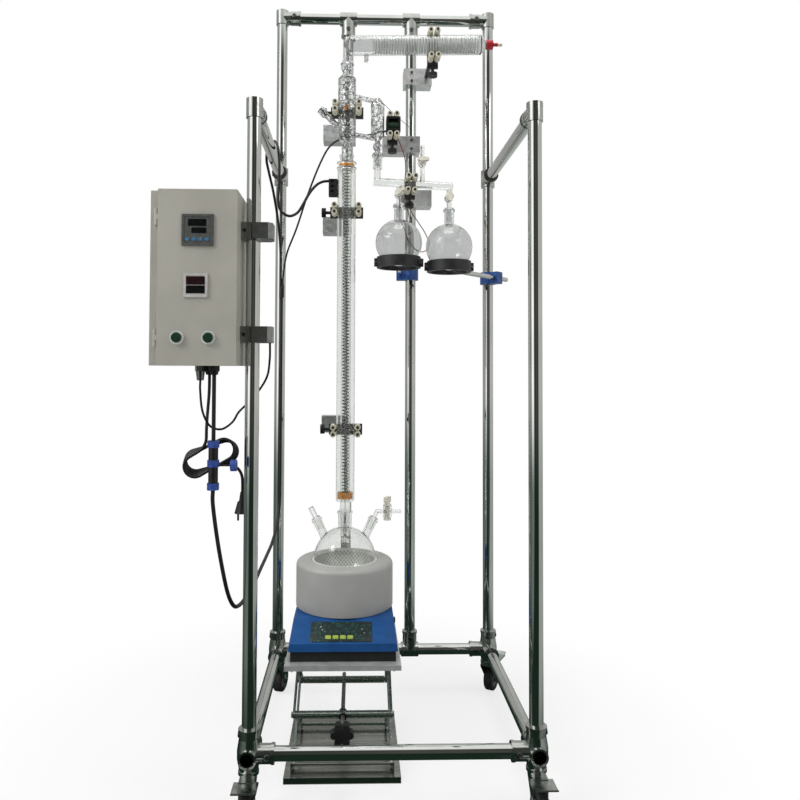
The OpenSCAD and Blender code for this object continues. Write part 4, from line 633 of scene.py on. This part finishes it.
def arc(radius, angle, middle):
    """Points of a profile on a circle: its middle plus the radius times the angle's cosine and sine."""
    return np.stack([np.cos(angle), np.sin(angle)], axis=-1) * radius + middle


def shell_wall(radius=129.9, bend=13, wall=2, mouth=89.4):
    """The spun shell as one turned profile: up the side, round a bend of a quarter circle, in to the mouth,
    and back inside by the wall."""
    corner, middle = np.linspace(0, np.pi / 2, 9), (radius - bend, shell_top - bend)
    start = [(radius - 2, shell_foot), (radius, shell_foot + 2)]
    rim = [(mouth, shell_top), (mouth, shell_top - wall)]
    close = [(radius - wall, shell_foot), start[0]]
    outside, inside = arc(bend, corner, middle), arc(bend - wall, corner[::-1], middle)
    return revolve(np.vstack([start, outside, rim, inside, close]), 120)


piece("mantle_cover", shell_wall(), mantle_enamel, "jack_table", ["mantle_shell"])
print("mantle height in mm:", (shell_top - shell_foot).round())

# %% [markdown]
# ## Woven nest
# The nest is heating cord woven with glass fibre, which has a sheen. The weave follows the bowl, so the bowl
# is turned again with its own UV map: u runs round it and v down it, and two waves a half step apart give the
# over and under. The strands that pass under are painted darker: painted shade between the raised strands.

# %% Weave the nest
FLASK_Z, NEST_R, NEST_WALL = 472.5, 83.3, 5
mouth = np.arcsin((shell_top - FLASK_Z) / NEST_R)


def nest_bowl(sides=96, rows=34):
    """A bowl of heating cord: the sphere r (cos e cos a, cos e sin a, sin e) from its mouth down to the
    bottom, carried back up by the wall further out."""
    rise = np.linspace(mouth, -np.pi / 2, rows)
    inside = arc(NEST_R, rise, (0, FLASK_Z))
    outside = arc(NEST_R + NEST_WALL, rise[::-1], (0, FLASK_Z))
    return revolve(np.vstack([inside, outside, inside[:1]]), sides)


weave = Finish("nest_weave")
round_it = weave.axis("X", "UV")
down_it = weave.axis("Y", "UV")


def wave(term, count):
    """Swings count times between 0 and 1: a half and half the sine."""
    return 0.5 + 0.5 * term.math("SINE", term * (2 * np.pi * count))


strands = wave(round_it, 48)
rows_of_cord = wave(down_it, 22)
over = (strands > 0.5) * rows_of_cord + (strands < 0.5) * (1 - rows_of_cord)
# Low strands darker than raised ones: painted shade between the strands, from the same pattern as the bump.
weave_painted_shade_tone = weave.mix(rgb(158, 156, 150), rgb(255, 254, 251), over * 0.8 + weave.grain(2) * 0.2)
nest_cloth = weave.done(Base_Color=weave_painted_shade_tone, Roughness=0.28 + weave.grain(1.5) * 0.2, Specular_IOR_Level=1.0,
                        Normal=weave.bump(over, 0.7))
nest = piece("mantle_bowl", nest_bowl(), nest_cloth, "jack_table", ["mantle_nest"]).data
corners = read(nest.loops, "vertex_index", kind=np.int32)
spot = read(nest.vertices, "co", 3)[corners] / MM - (0, 0, FLASK_Z)
lap = np.arctan2(spot[:, 1], spot[:, 0]) / (2 * np.pi) % 1.0
depth = np.arcsin(np.clip(spot[:, 2] / np.linalg.norm(spot, axis=1), -1, 1)) / np.pi + 0.5
starts, totals = (read(nest.polygons, field, kind=np.int32) for field in ("loop_start", "loop_total"))
past_seam = np.repeat(np.maximum.reduceat(lap, starts) > 0.75, totals) & (lap < 0.25)
uv = np.stack([lap + past_seam, depth], axis=-1)
nest.uv_layers.new(name="weave").data.foreach_set("uv", uv.ravel())
print("nest mouth in mm:", (2 * NEST_R * np.cos(mouth)).round())

# %% [markdown]
# ## Laboratory glass
# Borosilicate glass bends light a little less than window glass, and hand-blown ware is never quite even, so
# a slow ripple turns the normal. The CAD walls have two faces, so an ordinary glass surface is enough. Lamp
# light goes straight through, or the nest and the wire would be left in the dark. The condenser and the
# receivers look greyer, and the still head is worked into drip points that break up what is seen through it.

# %% Dress the glass
def glass(name, light, dark, haze=0.03, ripple=0.12, size=30, crease_shade=False):
    """Clear glass with a faint tint that drifts, slight haze and a slow ripple of a size in millimetres. For
    worked glass the darker tint is painted shade along the creases: the lines where the ripple passes its
    middle height."""
    finish = Finish(name)
    slow = finish.grain(size, 2)
    tint = ((slow - 0.5) * (slow - 0.5)).between(0, 0.003) if crease_shade else slow
    body = finish.node("ShaderNodeBsdfPrincipled", None, {
        "Base Color": finish.mix(rgb(*dark), rgb(*light), tint), "Roughness": finish.grain(14) * haze,
        "IOR": 1.47, "Transmission Weight": 1.0, "Normal": finish.bump(slow, ripple)})
    open_way = finish.node("ShaderNodeBsdfTransparent", None, {"Color": rgb(247, 248, 247)})
    shade = finish.node("ShaderNodeLightPath", out="Is Shadow Ray")
    bounced = finish.node("ShaderNodeLightPath", out="Is Diffuse Ray")
    return finish.end(finish.node("ShaderNodeMixShader", None, {
        0: shade.math("MAXIMUM", shade, bounced), 1: body, 2: open_way}))


clear_glass = glass("clear_glass", (243, 244, 242), (234, 236, 234))
grey_glass = glass("grey_glass", (222, 223, 222), (212, 214, 213))
# The still head's dark lines along its creases are painted shade.
worked_glass = glass("worked_glass", (246, 247, 246), (140, 142, 141), ripple=2.5, size=13, crease_shade=True)
dress(clear_glass, "boiling_flask", "neck_fittings", "column_tube", "column_jacket", "receiver_adapter")
dress(grey_glass, "condenser_shell", "receiver_flasks")
dress(worked_glass, "still_head")
print("glass reaches Z in mm:", span("condenser_shell")[1][2].round())

# %% [markdown]
# ## Packing and condenser coil
# The column is packed with a wound wire spiral of many turns. The condenser holds a glass coil. Both are a
# ring carried along a helix: the angle grows evenly while the path climbs. CAD keeps few turns for speed, so
# these finer windings stand for its solids.

# %% Wind the packing and the coil
def helix(radius, length, turns, steps):
    """Points at angle a = 2 pi turns t: x = r cos a, y = r sin a, z = length times t."""
    t = np.linspace(0, 1, int(turns * steps) + 1)
    angle = 2 * np.pi * turns * t
    return np.stack([radius * np.cos(angle), radius * np.sin(angle), length * t], axis=-1)


packing_steel = metal("packing_steel", (44, 45, 44), (26, 27, 26), (0.4, 0.55), 12)
low, high = span("column_packing")
winding = helix(8.8, high[2] - low[2] - 2, 100, 18) + (0, 0, low[2] + 1)
piece("packing_spiral", sweep(winding, 1.2, 6), packing_steel, replaces=["column_packing"])

coil_glass = Finish("coil_glass")
milky = coil_glass.grain(10)
coil_tone = coil_glass.mix(rgb(232, 233, 231), rgb(249, 250, 248), milky)
coil_glass.done(Base_Color=coil_tone, Roughness=0.04 + milky * 0.06, IOR=1.47,
                Transmission_Weight=0.5, Normal=coil_glass.bump(milky, 0.1))
RISE, CONDENSER_Z = 1.3, 1877.5
low, high = span("condenser_coil")
coil_from = low[0] + 3.7
turns_of_coil = helix(21.2, high[0] - low[0] - 7.5, 38, 24) @ turned("Y", 90 - RISE).T
start = np.array([coil_from, 0, CONDENSER_Z + coil_from * np.tan(np.radians(RISE))])
piece("coil_winding", sweep(turns_of_coil + start, 2.7, 8), coil_glass.material,
      replaces=["condenser_coil"])
print("wire in the packing in m:", (np.linalg.norm(np.diff(winding, axis=0), axis=1).sum() * MM).round(1))

# %% [markdown]
# ## Stopcocks, cap and tape
# The plugs are turned from white fluoropolymer, waxy to the eye. The condenser's hose cap is red, with a pale
# barb. Amber tape marks the foot of the jacket, and an amber clip holds the joint over the column.

# %% Dress plugs, cap and tape
plug_white = coat("plug_white", (236, 232, 220), (222, 217, 202), (0.3, 0.42), 12, 1.5, 0.02)
dress(plug_white, "sample_plug", "vent_plug", "left_plug", "right_plug")
cap_red = coat("cap_red", (182, 30, 42), (150, 20, 32), (0.25, 0.4), 10, 1.0, 0.03)
barb_pale = coat("barb_pale", (214, 205, 180), (196, 186, 160), (0.35, 0.5), 8, 1.0, 0.02)
BARB = 12.5
barb_from = span("hose_cap")[1][0] - BARB
dress_parts("hose_cap", [cap_red, barb_pale], lambda x, y, z: x > barb_from)

amber = coat("amber_tape", (214, 142, 40), (178, 104, 20), (0.28, 0.4), 8, 1.2, 0.03)
COLUMN_Z, COLUMN_TOP = 626.5, 1531.5
TAPE_UP = 7
band = revolve([(14.2, 0), (21, 0), (21, 16), (14.2, 16), (14.2, 0)], 64).at((0, 0, COLUMN_Z + TAPE_UP))
clip = revolve([(18.2, 0), (21, 0.6), (21.4, 4), (21, 7.4), (18.2, 8), (18.2, 0)], 64)
flange = revolve([(18.2, 0), (26, 0), (27, 1), (27, 3), (26, 4), (18.2, 4), (18.2, 0)], 64)
WELL = turned("Y", -46)
well_ring = revolve([(8.1, 0), (9.8, 0.6), (9.8, 5.4), (8.1, 6), (8.1, 0)], 40).at((0, 0, 76), WELL)
piece("amber_band", band, amber)
clips = clip.at((0, 0, COLUMN_TOP + 7)) + well_ring.at((0, 0, COLUMN_TOP + 96))
piece("amber_clip", clips, amber)
flanges = [flange.at((0, 0, COLUMN_TOP + rise)) for rise in (2, 16)]
piece("clip_flanges", joined(flanges), clear_glass)
print("tape at Z in mm:", COLUMN_Z + TAPE_UP)

# %% [markdown]
# ## Clamps
# The clamp blocks are die-cast alloy. Their jaws are dark painted bars with pale rubber rollers that touch
# the glass. A clamp is listed by the glass's axis, height and width and the jaws' turn, which give the axes
# of the rollers, and a face belongs to a roller by its distance from one.

# %% Dress the clamps
clamp_alloy = metal("clamp_alloy", (232, 234, 234), (220, 222, 222), (0.3, 0.4), 14, scratch=0.03, fine=2)
jaw_paint = coat("jaw_paint", (48, 49, 51), (32, 33, 34), (0.4, 0.55), 10, 1.0, 0.04)
pad_rubber = coat("pad_rubber", (224, 220, 200), (202, 196, 172), (0.5, 0.65), 8, 1.2, 0.04)
dress(clamp_alloy, "clamp_blocks")
dress(black_plastic, "clamp_knobs", "heater_terminal")
PAD_R, PAD_STEP = 8, 9.5
CLAMPS = [
    (0, 0, COLUMN_TOP + 173, 49, 0), (0, 0, COLUMN_TOP - 110, 50, 0), (0, 0, COLUMN_Z + 190, 50, 0),
    (240, 0, COLUMN_TOP + 351.4, 53, -91.3), (130, 50, COLUMN_TOP + 141, 40, -90),
    (182, 50, COLUMN_TOP - 25, 23, -87)]


def jaw_part(x, y, z):
    """1 on the rollers: within a roller's length, and nearer to a roller's skin than to the pin in it."""
    found = np.zeros(len(x), int)
    for glass_x, glass_y, height, grip, turn in CLAMPS:
        for side, step in ((-1, -1), (-1, 1), (1, -1), (1, 1)):
            axis = turned("Y", turn) @ (side * (grip / 2 + PAD_R + 0.2), 0, step * PAD_STEP)
            reach = np.hypot(x - glass_x - axis[0], z - height - axis[2])
            found |= (reach > 3.5) & (reach < PAD_R + 0.8) & (abs(y - glass_y + 4) < 18.3)
    return found


dress_parts("clamp_jaws", [jaw_paint, pad_rubber], jaw_part)
hex_head = revolve([(0, -1), (4, -1), (4, 2.6), (3.4, 3.2), (2, 3.2), (1.8, 1.4), (0, 1.4)], 18)
BLOCK_Y, BLOCK_SCREW = 220, 13
heads = [hex_head.at((ROD_X[glass_x > 0], BLOCK_Y, height + up), FRONT)
         for glass_x, _, height, *_ in CLAMPS for up in (-BLOCK_SCREW, BLOCK_SCREW)]
piece("block_screws", joined(heads), screw_steel)
print("clamps:", len(CLAMPS))

# %% [markdown]
# ## Rings, bossheads and solenoid
# The two rings that carry the receivers are black, on bright rods in blue bossheads: faces further out than
# the ring are the rod's. The solenoid that tips the reflux has a green winding in a dark steel yoke.

# %% Dress the rings
ring_black = coat("ring_black", (36, 36, 38), (22, 22, 24), (0.4, 0.55), 14, 1.0, 0.05)
boss_blue = coat("boss_blue", (44, 88, 158), (28, 66, 128), (0.32, 0.45), 14, 1.2, 0.04)
dress(boss_blue, "bossheads")
RING_AT, RING_Z, RING_R, LUG = ((147, 50), (289, 50)), (1283.5, 1272.5), 76, 63
dress_parts("ring_holders", [ring_black, chrome_tube], lambda x, y, z: np.minimum(
    *(np.hypot(x - ring[0], y - ring[1]) for ring in RING_AT)) > RING_R)

lug_screw = revolve([(0, -1), (4.5, -1), (4.5, 2), (3.5, 3.4), (0, 3.8)], 18)
lugs = [lug_screw.at((ring[0] + LUG * way, ring[1] - 7, height), FRONT)
        for ring, height in zip(RING_AT, RING_Z) for way in (-1, 1)]
piece("lug_screws", joined(lugs), castor_steel)
core_green = coat("core_green", (52, 84, 60), (32, 58, 42), (0.35, 0.5), 6, 0.8, 0.04)
yoke_steel = metal("yoke_steel", (70, 74, 72), (46, 50, 48), (0.35, 0.5), 8)
CORE_Y, CORE_Z, CORE_R = 50, 1672.5, 12.5
dress_parts("solenoid", [yoke_steel, core_green],
            lambda x, y, z: np.hypot(y - CORE_Y, z - CORE_Z) < CORE_R)
print("rings at X in mm:", RING_AT[0][0], RING_AT[1][0])

# %% [markdown]
# ## Control box
# The box is folded steel in textured powder coat, a warm grey. Powder flows out in small pebbles about two
# millimetres across, which the bump repeats. The frames of the instruments and the bright rings of the push
# buttons are one solid, told apart by height.

# %% Dress the box
box_paint = coat("box_paint", (176, 174, 164), (167, 165, 155), (0.42, 0.6), 110, 2.0, 0.07)
dress(box_paint, "box_body", "box_door")
clamp_grey = metal("box_clamp_alloy", (156, 157, 154), (132, 134, 131), (0.3, 0.45), 16, scratch=0.05)
dress(clamp_grey, "box_clamps")
low = span("box_clamps")[0]
CLAMP_Z = (1060, 1292)
clamp_bolts = [hex_head.at((low[0] + 8, low[1], height), FRONT) for height in CLAMP_Z]
piece("clamp_bolts", joined(clamp_bolts), black_plastic)
bezel_dark = coat("bezel_dark", (84, 86, 82), (68, 70, 66), (0.35, 0.5), 12, 0.8, 0.03)
bezel_pale = coat("bezel_pale", (196, 194, 190), (180, 178, 174), (0.35, 0.5), 12, 0.8, 0.03)
button_ring = coat("button_ring", (222, 223, 220), (204, 205, 202), (0.25, 0.4), 8, 0.8, 0.02)
BUTTONS_TO, LOWER_TO = 1090, 1200
dress_parts("door_instruments", [bezel_dark, bezel_pale, button_ring],
            lambda x, y, z: np.where(z < BUTTONS_TO, 2, np.where(z < LOWER_TO, 1, 0)))
button_green = coat("button_green", (6, 58, 32), (3, 44, 23), (0.25, 0.38), 8, 1.0, 0.02)
dress(button_green, "start_button", "stop_button")
gland_metal = metal("gland_metal", (150, 152, 150), (110, 113, 111), (0.22, 0.36), 8)
EARTH_GLAND, GLAND_R = (-312, -392), 14
dress_parts("cable_glands", [gland_metal, black_plastic],
            lambda x, y, z: np.hypot(x - EARTH_GLAND[0], y - EARTH_GLAND[1]) > GLAND_R)
print("box clamps at Z in mm:", CLAMP_Z)

# %% [markdown]
# ## Displays and keys
# The windows and keys of the two instruments are rounded slabs on their faces, placed from the middle of
# each instrument. They ride on the door.

# %% Set the displays
window_black = coat("window_black", (20, 22, 22), (10, 11, 11), (0.08, 0.16), 10, 3, 0.01)
window_red = coat("window_red", (46, 24, 28), (30, 15, 18), (0.08, 0.16), 10, 3, 0.01)
key_blue = coat("key_blue", (70, 126, 164), (44, 98, 142), (0.3, 0.45), 4, 0.6, 0.03)
UPPER, LOWER, FACE = (-313, 1281), (-316, 1162), -433.1


def on_meter(meter, width, height, across, up, proud=0.8, corner=1.5):
    """A slab on a meter's face, placed from the meter's middle."""
    return slab(width, height, proud, corner, 0.3).at((meter[0] + across, FACE, meter[1] + up))


windows = [on_meter(UPPER, 39, 15, -1, 16), on_meter(UPPER, 32, 12, 3, -1)]
piece("upper_displays", joined(windows), window_black, "door")
blue_keys = [on_meter(UPPER, 9, 7, -22 + 14 * step, -20, 1.2, 3) for step in range(4)]
piece("upper_keys", joined(blue_keys), key_blue, "door")
piece("lower_display", on_meter(LOWER, 40, 18, 0, 10), window_red, "door")
piece("lower_panel", on_meter(LOWER, 40, 17, 0, -9), window_black, "door")
print("windows and keys:", len(windows) + len(blue_keys) + 2)

# %% [markdown]
# ## Cables
# The leads are black rubber. Each one is a round ring swept along one smooth curve through listed points.
# A chain of cubics is used because it passes through every point.

# %% Define a cord
rubber = coat("cable_rubber", (24, 24, 25), (14, 14, 15), (0.45, 0.62), 16, 1.2, 0.04)


def through(points, steps=8):
    """A chain of cubics: between two points, the cubic whose end slopes are half the difference of each
    one's neighbours."""
    p = np.asarray(points, float)
    p = np.vstack([2 * p[0] - p[1], p, 2 * p[-1] - p[-2]])
    t = (np.arange(steps) / steps)[:, None]
    a, b, c, d = p[:-3, None], p[1:-2, None], p[2:-1, None], p[3:, None]
    curve = 0.5 * (2 * b + (c - a) * t + (2 * a - 5 * b + 4 * c - d) * t**2 + (3 * b - a - 3 * c + d) * t**3)
    return np.vstack([curve.reshape(-1, 3), p[-2]])


def lay_cord(name, path, thick, replaces):
    """A cord along a path in millimetres."""
    made = piece(name, sweep(path, thick / 2, 12), rubber, replaces=replaces)


print("cord skin:", rubber.name)

# %% [markdown]
# ## Control leads
# A short lead hangs from the box to an inline connector. The trunk goes on from there, back along the frame
# and up a rear post, and splits for the heater and the solenoid. The earth lead ends at a box clamp.

# %% Lay the control leads
CONNECTOR = (-282, -392)
gland_lead = [(*CONNECTOR, z) for z in np.linspace(970, 827, 16)]
trunk = [
    (-282, -392, 720), (-282, -392, 690), (-273, -390, 620), (-262, -383, 550), (-252, -367, 490),
    (-244, -338, 454), (-238, -298, 441), (-231, -240, 441), (-224, -160, 448), (-220, -50, 458),
    (-216, 60, 468), (-212, 140, 480), (-206, 195, 512), (-200, 221, 570), (-199, 226, 650),
    (-199, 226, 800), (-199, 226, 950), (-199, 226, 1100), (-199, 226, 1200)]
heater_lead = [
    (-202, 226, 1230), (-202, 226, 1260), (-203, 224, 1340), (-208, 205, 1420), (-217, 150, 1500),
    (-225, 98, 1548), (-228, 64, 1575), (-221, 32, 1597), (-208, 0, 1605), (-193, -30, 1598),
    (-183, -50, 1572), (-179, -57, 1528), (-180, -55, 1475), (-182, -52, 1435), (-175, -47, 1407),
    (-154, -40, 1394), (-132, -31, 1405), (-116, -24, 1432), (-101, -16, 1462), (-83, -8, 1486),
    (-66, -3, 1497), (-49, 0, 1500)]
solenoid_lead = [
    (-195, 226, 1230), (-195, 225, 1260), (-182, 205, 1330), (-150, 165, 1400), (-116, 130, 1490),
    (-78, 108, 1580), (-48, 96, 1628), (-10, 90, 1648), (35, 86, 1652), (66, 80, 1656), (88, 73, 1660),
    (110, 67, 1662)]
earth_lead = [
    (-312, -392, 958), (-312, -392, 935), (-307, -389, 890), (-292, -381, 858), (-269, -370, 850),
    (-248, -354, 864), (-237, -336, 885), (-222, -320, 902), (-200, -315, 926), (-176, -318, 965),
    (-168, -334, 1005), (-167, -340, 1042)]
lay_cord("gland_lead", np.array(gland_lead), 9, ["control_leads"])
for name, points, thick, stiffness in (
        ("trunk_lead", trunk, 9, "medium"), ("heater_lead", heater_lead, 7.5, "limp"),
        ("solenoid_lead", solenoid_lead, 5.5, "medium"), ("earth_lead", earth_lead, 5, "medium")):
    lay_cord(name, through(points), thick, ["control_leads"])

# %% [markdown]
# ## Thin wires
# A pair of thin wires, red and black, hangs in a bight from the solenoid: one path laid twice, side by side.
# A steel wire steadies the side vessel.

# %% Hang the thin wires
wire_red = coat("wire_red", (150, 34, 40), (120, 24, 30), (0.4, 0.55), 10, 1.0, 0.02)
thin_wire = [
    (140, 46, 1652), (142, 47, 1640), (152, 56, 1618), (164, 72, 1590), (168, 84, 1558), (166, 90, 1520),
    (170, 92, 1480), (184, 92, 1440), (206, 90, 1405), (226, 86, 1372), (234, 84, 1345), (226, 86, 1324),
    (208, 92, 1322), (192, 104, 1338), (178, 128, 1370), (168, 160, 1410), (164, 195, 1442), (164, 222, 1466),
    (164, 232, 1481)]
for name, aside in (("red_wire", -1.4), ("black_wire", 1.4)):
    lay_cord(name, through(thin_wire) + (0, aside, 0), 2.2, [])
bpy.data.objects["red_wire"].data.materials[0] = wire_red
tie_wire = through([(104, 50, 1734), (130, 110, 1733), (165, 190, 1733), (186, 237, 1734)])
piece("vessel_wire", sweep(tie_wire, 0.8, 8), screw_steel)
print("points on a thin wire:", len(through(thin_wire)))

# %% [markdown]
# ## Power cord and its hank
# The power cord's spare length is folded in a hank of four and a half laps, which a cable tie holds at the
# lower runs. A lap is two straight runs joined by two half circles. With the lap's length as the parameter,
# the whole winding is one array: the lap gives the place in its plane, and the count of laps moves it back
# and turns it a little, so the loops lie side by side and fan out.

# %% Lay the power cord
HALF, BEND, TILT, FAN, STEP, LOOPS = 36, 24, 22, 4, 8.5, 5
CENTRE = np.array([-297, -366, 786])
along = np.array([np.cos(np.radians(TILT)), 0, np.sin(np.radians(TILT))])
aloft = np.array([-along[2], 0, along[0]])


def hank(laps):
    """Point on a lap of two straights 2 HALF long and two half circles of radius BEND. A lap starts in the
    middle of the top run and goes left. Each lap lies STEP further back and FAN degrees flatter."""
    run, arc = 2 * HALF, np.pi * BEND
    s = laps % 1 * 2 * (run + arc)
    turn = np.clip(s - HALF, 0, arc) / BEND
    back = np.clip(s - HALF - arc, 0, run)
    turn_two = np.clip(s - HALF - arc - run, 0, arc) / BEND
    last = np.clip(s - HALF - 2 * arc - run, 0, HALF)
    across = back - np.minimum(s, HALF) - BEND * np.sin(turn) + BEND * np.sin(turn_two) - last
    height = BEND * np.cos(turn) + BEND * (1 - np.cos(turn_two))
    tilt = np.radians(TILT - FAN * (laps - LOOPS / 2))
    return CENTRE + np.stack([across * np.cos(tilt) - height * np.sin(tilt), STEP * laps,
                              across * np.sin(tilt) + height * np.cos(tilt)], axis=-1)


cord_start = [
    (-299, -357, 970), (-299, -357, 945), (-299.6, -358, 922), (-300.9, -360.3, 897), (-302.1, -362.8, 873),
    (-302.7, -364.8, 852), (-302.8, -365.5, 836.2), (-303.1, -365.5, 826.6), (-305.4, -365.5, 817.4),
    (-310, -365.5, 809.1), (-316.7, -365.5, 802.4)]
cord_end = [
    (-284.4, -327.8, 764.4), (-274.1, -327.2, 766.7), (-263.5, -325.8, 767.5), (-253.2, -323.7, 765.3),
    (-244, -321.2, 760.1), (-236.7, -318.6, 752.4), (-232.1, -316.1, 743), (-230.2, -314, 732.5),
    (-230, -312.5, 722), (-230, -312, 711.5), (-230, -312, 702.5)]
wound = hank(np.linspace(0.06, LOOPS - 0.5, LOOPS * 48 + 1))
cord_in = through(np.vstack([cord_start, wound[:1]]))
cord_out = through(np.vstack([wound[-1:], cord_end]))
power_path = np.vstack([cord_in[:-1], wound, cord_out[1:]])


def tie_loop(middle, high, deep):
    """A closed band round the runs, in the plane across them: a squared oval, whose height and depth go with
    the roots of the angle's sine and cosine."""
    angle = around(40)
    ring = np.sign(np.sin(angle)) * np.abs(np.sin(angle)) ** 0.5
    flat = np.sign(np.cos(angle)) * np.abs(np.cos(angle)) ** 0.5
    rows = [middle + aside * along + np.outer((high + out) * ring, aloft)
            + np.outer((deep + out) * flat, (0, 1, 0))
            for out, aside in ((0, -2.5), (1.4, -2.5), (1.4, 2.5), (0, 2.5), (0, -2.5))]
    return net(np.stack(rows))


tie_at = CENTRE - BEND * aloft + (0, STEP * LOOPS / 2, 0)
tie = piece("hank_tie", tie_loop(tie_at, 4.0, STEP * LOOPS / 2 + 0.5), black_plastic)
lay_cord("power_lead", power_path, 7, ["power_cord", "power_cord_hank"])
dress(black_plastic, "power_plug")

nut_blue = coat("nut_blue", (52, 84, 168), (38, 66, 140), (0.35, 0.48), 8, 1.0, 0.03)


def connector_part(x, y, z):
    """1 on the three grip nuts and on the tethered cap."""
    reach = np.hypot(x - CONNECTOR[0], y - CONNECTOR[1])
    nut = (reach > 10.7) & (reach < 14)
    cap = x > CONNECTOR[0] + 37
    return (nut | cap) & (z < 900)


dress_parts("inline_connector", [black_plastic, nut_blue], connector_part)
print("points on the power lead:", len(power_path))
